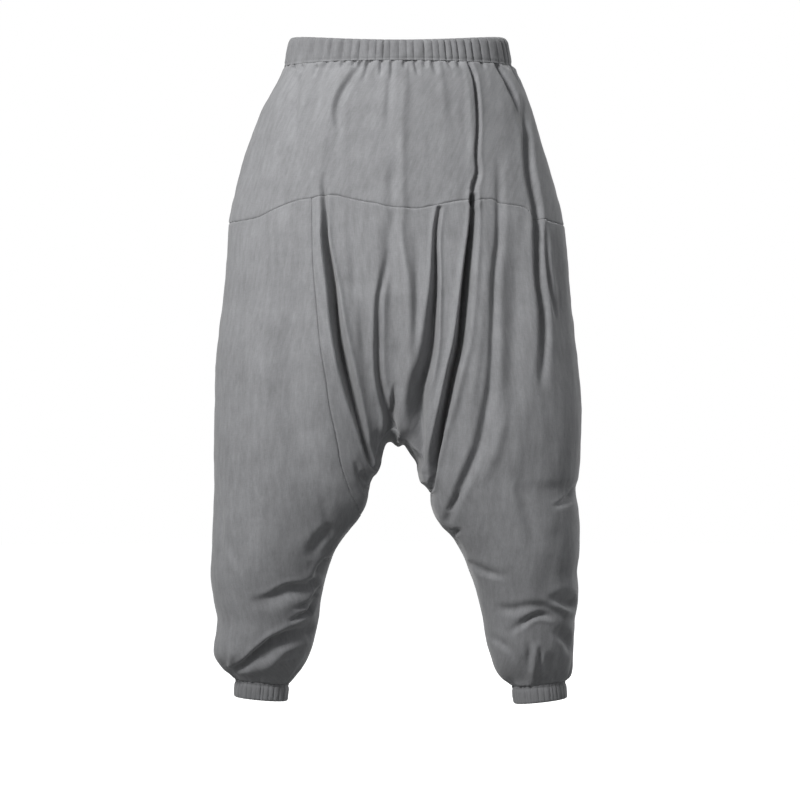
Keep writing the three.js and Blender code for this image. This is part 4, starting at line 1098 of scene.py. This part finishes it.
# %% A closed shell from two faces
def shell(name, outer, inner, flat, ring=False, flip=False):
    """A closed mesh between two grids of points, joined at their rims. A ring joins its
    last column to its first. "flat" holds the pattern's own two coordinates in metres,
    which become the UV map "cut"."""
    rows, columns = outer.shape[:2]
    index = np.arange(rows * columns).reshape(rows, columns)
    if ring:
        index = np.concatenate([index, index[:, :1]], axis=1)
    under = index + rows * columns

    def quads(a, b):
        """Faces between two lines or grids of indices, wound a, b, b next, a next."""
        return np.stack([a[..., :-1], b[..., :-1], b[..., 1:], a[..., 1:]], -1).reshape(-1, 4)

    faces = [quads(index[:-1], index[1:]), quads(under[1:], under[:-1]),
             quads(under[0], index[0]), quads(index[-1], under[-1])]
    if not ring:
        faces += [quads(index[:, 0], under[:, 0]), quads(under[:, -1], index[:, -1])]
    faces = np.concatenate(faces)
    if flip:
        faces = faces[:, ::-1]
    points = np.concatenate([outer.reshape(-1, 3), inner.reshape(-1, 3)]) * MM
    mesh = bpy.data.meshes.new(name)
    mesh.from_pydata(points.tolist(), [], faces.tolist())
    mesh.polygons.foreach_set("use_smooth", np.ones(len(faces), bool))
    place = np.tile(flat.reshape(-1, 2), (2, 1))
    corners = place[faces.ravel()].reshape(-1, 4, 2)
    if ring:
        length = np.ptp(flat[..., 0]) * (1 + 1 / columns)
        wraps = np.ptp(corners[..., 0], axis=1) > length / 2
        low = wraps[:, None] & (corners[..., 0] < length / 2)
        corners[..., 0] += low * length
    layer = mesh.uv_layers.new(name="cut")
    layer.data.foreach_set("uv", corners.ravel())
    mesh.update()
    piece = bpy.data.objects.new(name, mesh)
    bpy.context.scene.collection.objects.link(piece)
    return piece


# %% Cloth from a grid
THICKNESS = 0.9  # of one layer


def cloth(name, side, grid, flip):
    """A panel of cloth: the smooth surface plus its relief along the normal, and an inner
    face one thickness behind."""
    across, down, on_seam = grid
    point, normal, full, arch = bare(side, across, down, on_seam)
    height = relief(side, across, down, point, full, arch) + stitched(point)
    outer = point + normal * height[..., None]
    inner = point + normal * (height - THICKNESS)[..., None]
    distances = edge_distances(point)
    flat = np.stack([distances[2], -distances[0]], axis=-1) * MM
    print(f"{name}: depth of its relief from {height.min():.1f} to {height.max():.1f} mm")
    return shell(name, outer, inner, flat, flip=flip)


# %% [markdown]
# Elastic casings are cloth folded over an elastic and sewn down. They could be flat
# bands with a bump, but their gathers break the outline of the waist and the ankles. So
# they are rings whose cross-section is a closed strip: up the outside, over a rounded
# edge and down the inside. Their gathers are pinched where a row of stitches holds the
# casing, and swell between.

# %% Shapes of a casing
BAND_SAMPLES, CUFF_SAMPLES = ((14, 12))
CASING_ROWS = 18
ROWS_BUNCHED = 0.6  # how much the rows bunch towards both edges
SWELL, SWELL_POWER = 0.9, 0.8  # a half sine raised to a power less than 1 is fuller
STITCH_DIP, STITCH_AT, STITCH_SPREAD = 0.9, 3.5, 3.0  # from the sewn edge


def gathered_ring(creases, samples):
    """Angles around a casing, and how proud the cloth is there: flat crests, as the
    square root of a half sine, between the listed creases. Where a crease has more than
    the whole depth it is wider too, and the power of the half sine is higher."""
    table = np.array(creases, float)
    degrees = np.concatenate([table[:, 0], table[:, 0] + 180, table[:1, 0] + 360])
    share = np.concatenate([table[:, 1], table[:, 1], table[:1, 1]])
    t = np.linspace(0, 1, samples, endpoint=False)
    angle = mix(degrees[:-1, None], degrees[1:, None], t).ravel()
    depth = mix(share[:-1, None], share[1:, None], t).ravel()
    power = 0.5 * np.maximum(1, depth) ** 2
    wave = np.tile(np.sin(math.pi * t), len(degrees) - 1) ** power
    return np.radians(angle - 180), depth * (wave - 1)


def casing_profile(height, free_end, round_over, round_in):
    """Down a casing: shares of its height, how far in the rounded edge is, how far out
    the rest is, and each row's share of the way from the free edge to the sewn one. The
    rounded edge is a quarter circle squeezed to its two sizes, at the top for a free end
    of 0 and at the bottom for 1. The rest swells as a half sine, with a bell-shaped dip
    at the row of stitches."""
    t = np.linspace(0, 1, CASING_ROWS + 1)
    t = mix(t, from_both_sides(t), ROWS_BUNCHED)
    from_free = t if free_end == 0 else 1 - t
    round_edge = np.clip(from_free * height / round_over, 0, 1)
    inset = round_in * (1 - np.sqrt(round_edge * (2 - round_edge)))
    swell = SWELL * np.sin(math.pi * np.clip(from_free, 0, 1)) ** SWELL_POWER
    from_sewn = (1 - from_free) * height
    stitch = STITCH_DIP * np.exp(-(from_sewn - STITCH_AT) ** 2 / STITCH_SPREAD)
    return t, inset, swell - stitch, from_free


# %% Casings
CASING_WALL = 3.2  # two layers and the elastic between them
INNER_SHARE = 0.6  # of the outside's relief, on the inside
PINCHED, SWOLLEN, LOOSE = 0.55, 0.45, 0.25  # shares of a gather's depth
RIPPLE_DEPTH, RIPPLE_TURN, RIPPLE_HEIGHT, RIPPLE_SEED = 0.35, 26, 7, 31


def casing(name, gathered, depth, height, free_end, rounded, place):
    """A gathered ring. "place" turns an angle, a share down and a height that the cloth
    stands proud into points. The gathers are held flattest at the sewn edge. In the
    middle they are deeper by a half sine, and towards the free edge by a straight line.
    Small ripples of noise are added. The inside has a share of the outside's relief, one
    wall further in."""
    rows = casing_profile(height, free_end, *rounded)
    t, inset, out, from_free = (row[:, None] for row in rows)
    angle, wave = gathered
    held = PINCHED + SWOLLEN * np.sin(math.pi * from_free) + LOOSE * (1 - from_free)
    proud = depth * wave * held
    ripple = noise(np.stack([angle * RIPPLE_TURN + 0 * t,
                             t * height / RIPPLE_HEIGHT + 0 * angle, 0 * proud], -1),
                   RIPPLE_SEED)
    proud = proud + RIPPLE_DEPTH * ripple
    outer = place(angle, t, proud - inset + out)
    inner = place(angle, t, INNER_SHARE * (proud - inset) - CASING_WALL)
    around = (angle - angle[0]) * np.linalg.norm(outer[..., :2], axis=-1).mean() * MM
    flat = np.stack(np.broadcast_arrays(around, -t * height * MM), axis=-1)
    wall = np.linalg.norm(outer - inner, axis=-1).mean()
    print(f"{name}: {len(angle)} columns, and a mean wall of {wall:.1f} mm")
    return shell(name, outer, inner, flat, ring=True)


def band_place(angle, share, proud):
    """Points of the waistband's ring, an ellipse that grows evenly downwards. Its top is
    lower by the dip times the sine squared, at the front alone."""
    width = mix(*BAND_HALF_WIDTH, share) + proud
    depth = mix(*BAND_HALF_DEPTH, share) + proud
    top = BAND_TOP + FRONT_DIP * np.maximum(0, -np.sin(angle)) ** 2
    down = mix(top, BAND_BOTTOM - SEAM_GAP / 2, share)
    x = BAND_CENTRE + width * np.cos(angle)
    return np.stack(np.broadcast_arrays(x, depth * np.sin(angle), -down), axis=-1)


def cuff_place(name):
    """The points of one cuff's ring, as a function like the waistband's: an ellipse with
    upright sides, turned as a whole by the cuff's slope."""
    centre, top, slope = CUFFS[name]
    lean = math.atan(slope)

    def place(angle, share, proud):
        down = mix(SEAM_GAP / 2, CUFF_HEIGHT, share) + 0 * angle
        x = (CUFF_HALF_WIDTH + proud) * np.cos(angle)
        return np.stack(np.broadcast_arrays(
            centre + x * math.cos(lean) - down * math.sin(lean),
            CUFF_Y + (CUFF_HALF_DEPTH + proud) * np.sin(angle),
            -(top + x * math.sin(lean) + down * math.cos(lean))), axis=-1)

    return place


# %% [markdown]
# ## Materials
#
# The cloth is a plain weave of uneven yarns. A picture of cloth could be wrapped round
# it, but would repeat and go soft close to. So noise that is stretched along the cut's
# two directions makes the yarns. It reads the pattern's own UV map, in metres, so that
# the yarns follow each panel's cut.

# %% Node helpers
def add(tree, kind, settings=None, **inputs):
    """A shader node with its settings and inputs. An input is a value or a socket."""
    node = tree.nodes.new(kind)
    for key, value in (settings or {}).items():
        setattr(node, key, value)
    for key, value in inputs.items():
        socket = node.inputs[key.replace("_", " ")]
        if isinstance(value, bpy.types.NodeSocket):
            tree.links.new(value, socket)
        else:
            socket.default_value = value
    return node


def yarns(tree, uv, scale, detail=3.0):
    """Noise stretched along one direction of the cut, as uneven yarns are: its place is
    the cut's coordinates times the scale."""
    mapping = add(tree, "ShaderNodeMapping", Vector=uv, Scale=scale)
    return add(tree, "ShaderNodeTexNoise", Vector=mapping.outputs[0], Scale=1.0,
               Detail=detail, Roughness=0.55).outputs["Fac"]


def maths(tree, operation, a, b):
    """The result of one operation on two values."""
    node = tree.nodes.new("ShaderNodeMath")
    node.operation = operation
    for socket, value in zip(node.inputs, (a, b)):
        if isinstance(value, bpy.types.NodeSocket):
            tree.links.new(value, socket)
        else:
            socket.default_value = value
    return node.outputs[0]


def weighted(tree, *parts):
    """The sum of several values, each times its weight."""
    terms = [maths(tree, "MULTIPLY", value, weight) for value, weight in parts]
    total = terms[0]
    for term in terms[1:]:
        total = maths(tree, "ADD", total, term)
    return total


# %% [markdown]
# The dye is uneven too. Yarns, thick places in them and a broad mottling are added up
# into one tone between a darker and a lighter grey, and the same yarns raise the cloth
# in a bump that is too fine for the mesh. The casings' grey is darker than the cloth's:
# that is painted shade, standing in for the shade in their tight gathers.

# %% The cloth's material
YARN_SCALES = {
    # waves of the noise in each metre of the cut, across and down
    "warp": (800, 120, 1), "weft": (120, 800, 1), "slubs": (160, 30, 1),
}
MOTTLE_SCALE = 26.0  # waves in each metre
DARK, LIGHT = (0.70, 0.70, 0.72), (1.28, 1.29, 1.33)  # times the shade
# the casing's lower value is painted shade: the same cloth, darkened for the shade in its tight
# gathers
SHADES_WITH_PAINTED_CASING_SHADE = {"cloth": 0.25, "casing": 0.205}


def cloth_material(name, shade):
    """Grey cotton and linen: mottled dye, warp and weft yarns, and a soft sheen."""
    material = bpy.data.materials.new(name)
    material.use_nodes = True
    tree = material.node_tree
    shader = tree.nodes["Principled BSDF"]
    uv = add(tree, "ShaderNodeUVMap", {"uv_map": "cut"}).outputs[0]
    spot = add(tree, "ShaderNodeTexCoord").outputs["Object"]
    warp = yarns(tree, uv, YARN_SCALES["warp"])
    weft = yarns(tree, uv, YARN_SCALES["weft"])
    slubs = yarns(tree, uv, YARN_SCALES["slubs"], 2.0)
    mottle = add(tree, "ShaderNodeTexNoise", Vector=spot, Scale=MOTTLE_SCALE, Detail=5.0,
                 Roughness=0.6).outputs["Fac"]
    weave = weighted(tree, (warp, 0.6), (weft, 0.4))
    tone = weighted(tree, (weave, 0.42), (slubs, 0.28), (mottle, 0.3))
    ramp = add(tree, "ShaderNodeValToRGB", Fac=tone)
    dark, light = ramp.color_ramp.elements
    dark.position, light.position = 0.3, 0.7
    dark.color = [part * shade for part in DARK] + [1]
    light.color = [part * shade for part in LIGHT] + [1]
    tree.links.new(ramp.outputs["Color"], shader.inputs["Base Color"])
    height = weighted(tree, (weave, 1.0), (slubs, 0.5))
    bump = add(tree, "ShaderNodeBump", Strength=0.4, Distance=0.0006, Height=height)
    tree.links.new(bump.outputs[0], shader.inputs["Normal"])
    shader.inputs["Roughness"].default_value = 0.92
    shader.inputs["Specular IOR Level"].default_value = 0.2
    shader.inputs["Sheen Weight"].default_value = 0.25
    shader.inputs["Sheen Roughness"].default_value = 0.5
    return material


materials = {name: cloth_material(name, shade) for name, shade in SHADES_WITH_PAINTED_CASING_SHADE.items()}
print("materials:", ", ".join(materials))

# %% [markdown]
# ## The pieces
#
# Each piece is one cut of cloth, sewn to its neighbours, and takes the place of one piece
# of the solid model. The whole garment could be one mesh, but a piece of its own can be
# looked at, changed or left off. The flat cut of each is its width, its length and its
# area in metres, with the gathers let out. The made surface is measured beside it.

# %% A piece's material, body and area
CUTS = {
    # width, length, area where it isn't width times length, held
    "waistband": (0.98, 0.040, None, "gathered"),
    "yoke_front": (0.62, 0.225, 0.112, "gathered"),
    "yoke_back": (0.64, 0.225, 0.114, "gathered"),
    "centre_panel_front": (0.34, 0.54, 0.122, "hung"),
    "centre_panel_back": (0.31, 0.53, 0.106, "hung"),
    "right_leg_front": (0.28, 0.70, 0.150, "hung"),
    "right_leg_back": (0.28, 0.70, 0.150, "hung"),
    "left_leg_front": (0.31, 0.71, 0.170, "hung"),
    "left_leg_back": (0.28, 0.70, 0.150, "hung"),
    "right_cuff": (0.31, 0.025, None, "gathered"),
    "left_cuff": (0.31, 0.025, None, "gathered"),
}


def declare(piece, node, slot):
    """Gives a piece its material and its body, hides the solid model's piece that it takes
    the place of, and compares half of the closed shell's area with that of the cut."""
    width, length, area, held = CUTS[node]
    piece.data.materials.append(materials[slot])
    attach(piece, "root")
    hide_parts(node)
    faces = np.empty(len(piece.data.polygons))
    piece.data.polygons.foreach_get("area", faces)
    share = faces.sum() / 2 / (area or width * length)
    print(f"{node}: {len(faces)} faces, {share:.2f} of its cut's area")


# %% Making the cloth panels
for side in ("front", "back"):
    back = side == "back"
    panels = {
        f"yoke_{side}": (yoke_grid(side), back),
        f"centre_panel_{side}": (centre_grid(side), back),
        f"right_leg_{side}": (leg_grid(side, "right"), back),
        f"left_leg_{side}": (leg_grid(side, "left"), not back),
    }
    for node, (grid, flip) in panels.items():
        declare(cloth(f"{node}_cloth", side, grid, flip), node, "cloth")

# %% Making the casings
BAND_GATHER, BAND_EDGE = 3.3, (8, 4)  # depth, and the rounded edge's height and inset
CUFF_GATHER, CUFF_EDGE = 1.9, (3.2, 1.5)
band_ring = gathered_ring(BAND_CREASES, BAND_SAMPLES)
# the casings take the darker material, whose lower grey is painted shade for their gathers
declare(casing("waistband_cloth", band_ring, BAND_GATHER, BAND_BOTTOM - BAND_TOP, 0,
               BAND_EDGE, band_place), "waistband", "casing")
for name in ("right", "left"):
    cuff_ring = gathered_ring(CUFF_CREASES[name], CUFF_SAMPLES)
    declare(casing(f"{name}_cuff_cloth", cuff_ring, CUFF_GATHER, CUFF_HEIGHT, 1,
                   CUFF_EDGE, cuff_place(name)), f"{name}_cuff", "casing")

# %% [markdown]
# ## The stage
#
# The garment hangs in front of plain white. A wall behind it would catch its shadow, so
# there is none. The floor is far below the cuffs, as pale as the background, and gives
# the cloth no light from below.

# %% Floor
FLOOR_Z, FLOOR_RADIUS, FLOOR_SIDES = -1.02, 9, 64
floor_mesh = bpy.data.meshes.new("floor")
around = np.arange(FLOOR_SIDES) * 2 * math.pi / FLOOR_SIDES
rim = np.column_stack([FLOOR_RADIUS * np.cos(around), FLOOR_RADIUS * np.sin(around),
                       np.full(FLOOR_SIDES, FLOOR_Z)])
floor_mesh.from_pydata(rim.tolist(), [], [list(range(FLOOR_SIDES))])
floor = bpy.data.objects.new("floor", floor_mesh)
bpy.context.scene.collection.objects.link(floor)
floor_material = bpy.data.materials.new("floor")
floor_material.use_nodes = True
floor_shader = floor_material.node_tree.nodes["Principled BSDF"]
floor_shader.inputs["Base Color"].default_value = (0.9, 0.9, 0.9, 1)
floor_shader.inputs["Roughness"].default_value = 0.9
floor_shader.inputs["Emission Color"].default_value = (1, 1, 1, 1)
floor_shader.inputs["Emission Strength"].default_value = 0.7
floor_mesh.materials.append(floor_material)
floor.visible_diffuse = False
print(f"floor: {-FLOOR_Z} m below the waist")

# %% [markdown]
# One soft light from the upper left shapes the folds, and a broad one behind on the right
# shows the back. A bare point of light would cut hard shadows. An area light's size
# makes them soft, and its spread sets how wide the beam is.

# %% Lights
def area_light(name, place, target, size, spread, power):
    """A soft square light that points at a target, with a beam so many degrees wide."""
    light = bpy.data.objects.new(name, bpy.data.lights.new(name, "AREA"))
    light.data.shape = "SQUARE"
    light.data.size = size
    light.data.spread = math.radians(spread)
    light.data.energy = power
    light.location = place
    aim = np.array(target) - np.array(place)
    level = math.hypot(aim[0], aim[1])
    light.rotation_euler = (math.atan2(level, -aim[2]), 0, math.atan2(-aim[0], aim[1]))
    bpy.context.scene.collection.objects.link(light)


area_light("key", place=(-1.22, -2.0, 1.2), target=(0, 0, -0.1), size=0.6, spread=82,
           power=17)
area_light("back", place=(2.2, 2.8, 1.0), target=(0, 0, -0.4), size=1.8, spread=180,
           power=50)
print("lights:", *(light.name for light in bpy.data.lights))

# %% [markdown]
# The shadows are filled by light from all round. It is faintly blue and weaker from
# below, as in a room with a pale ceiling, and only the camera sees the background as
# plain white.

# %% World
SKY_BELOW, SKY_ABOVE = 0.06, 0.43  # strength straight down and straight up
SKY_COLOUR = (0.97, 0.985, 1.0, 1)
world = bpy.data.worlds.new("studio")
world.use_nodes = True
bpy.context.scene.world = world
sky = world.node_tree
seen = add(sky, "ShaderNodeLightPath").outputs["Is Camera Ray"]
white = add(sky, "ShaderNodeBackground", Color=(1, 1, 1, 1), Strength=1.0)
upward = add(sky, "ShaderNodeSeparateXYZ", Vector=add(sky, "ShaderNodeTexCoord").outputs[0])
strength = add(sky, "ShaderNodeMapRange", From_Min=-1.0, To_Min=SKY_BELOW,
               To_Max=SKY_ABOVE, Value=upward.outputs["Z"])
soft = sky.nodes["Background"]
soft.inputs["Color"].default_value = SKY_COLOUR
sky.links.new(strength.outputs[0], soft.inputs["Strength"])
both = add(sky, "ShaderNodeMixShader", Fac=seen)
sky.links.new(soft.outputs[0], both.inputs[1])
sky.links.new(white.outputs[0], both.inputs[2])
sky.links.new(both.outputs[0], sky.nodes["World Output"].inputs["Surface"])
bpy.context.scene.view_settings.view_transform = "Standard"
print("nodes of the world:", len(sky.nodes))

# %% [markdown]
# Cloth may stand a little proud of the solid model, but not far.

# %% Finish
bpy.context.view_layer.update()
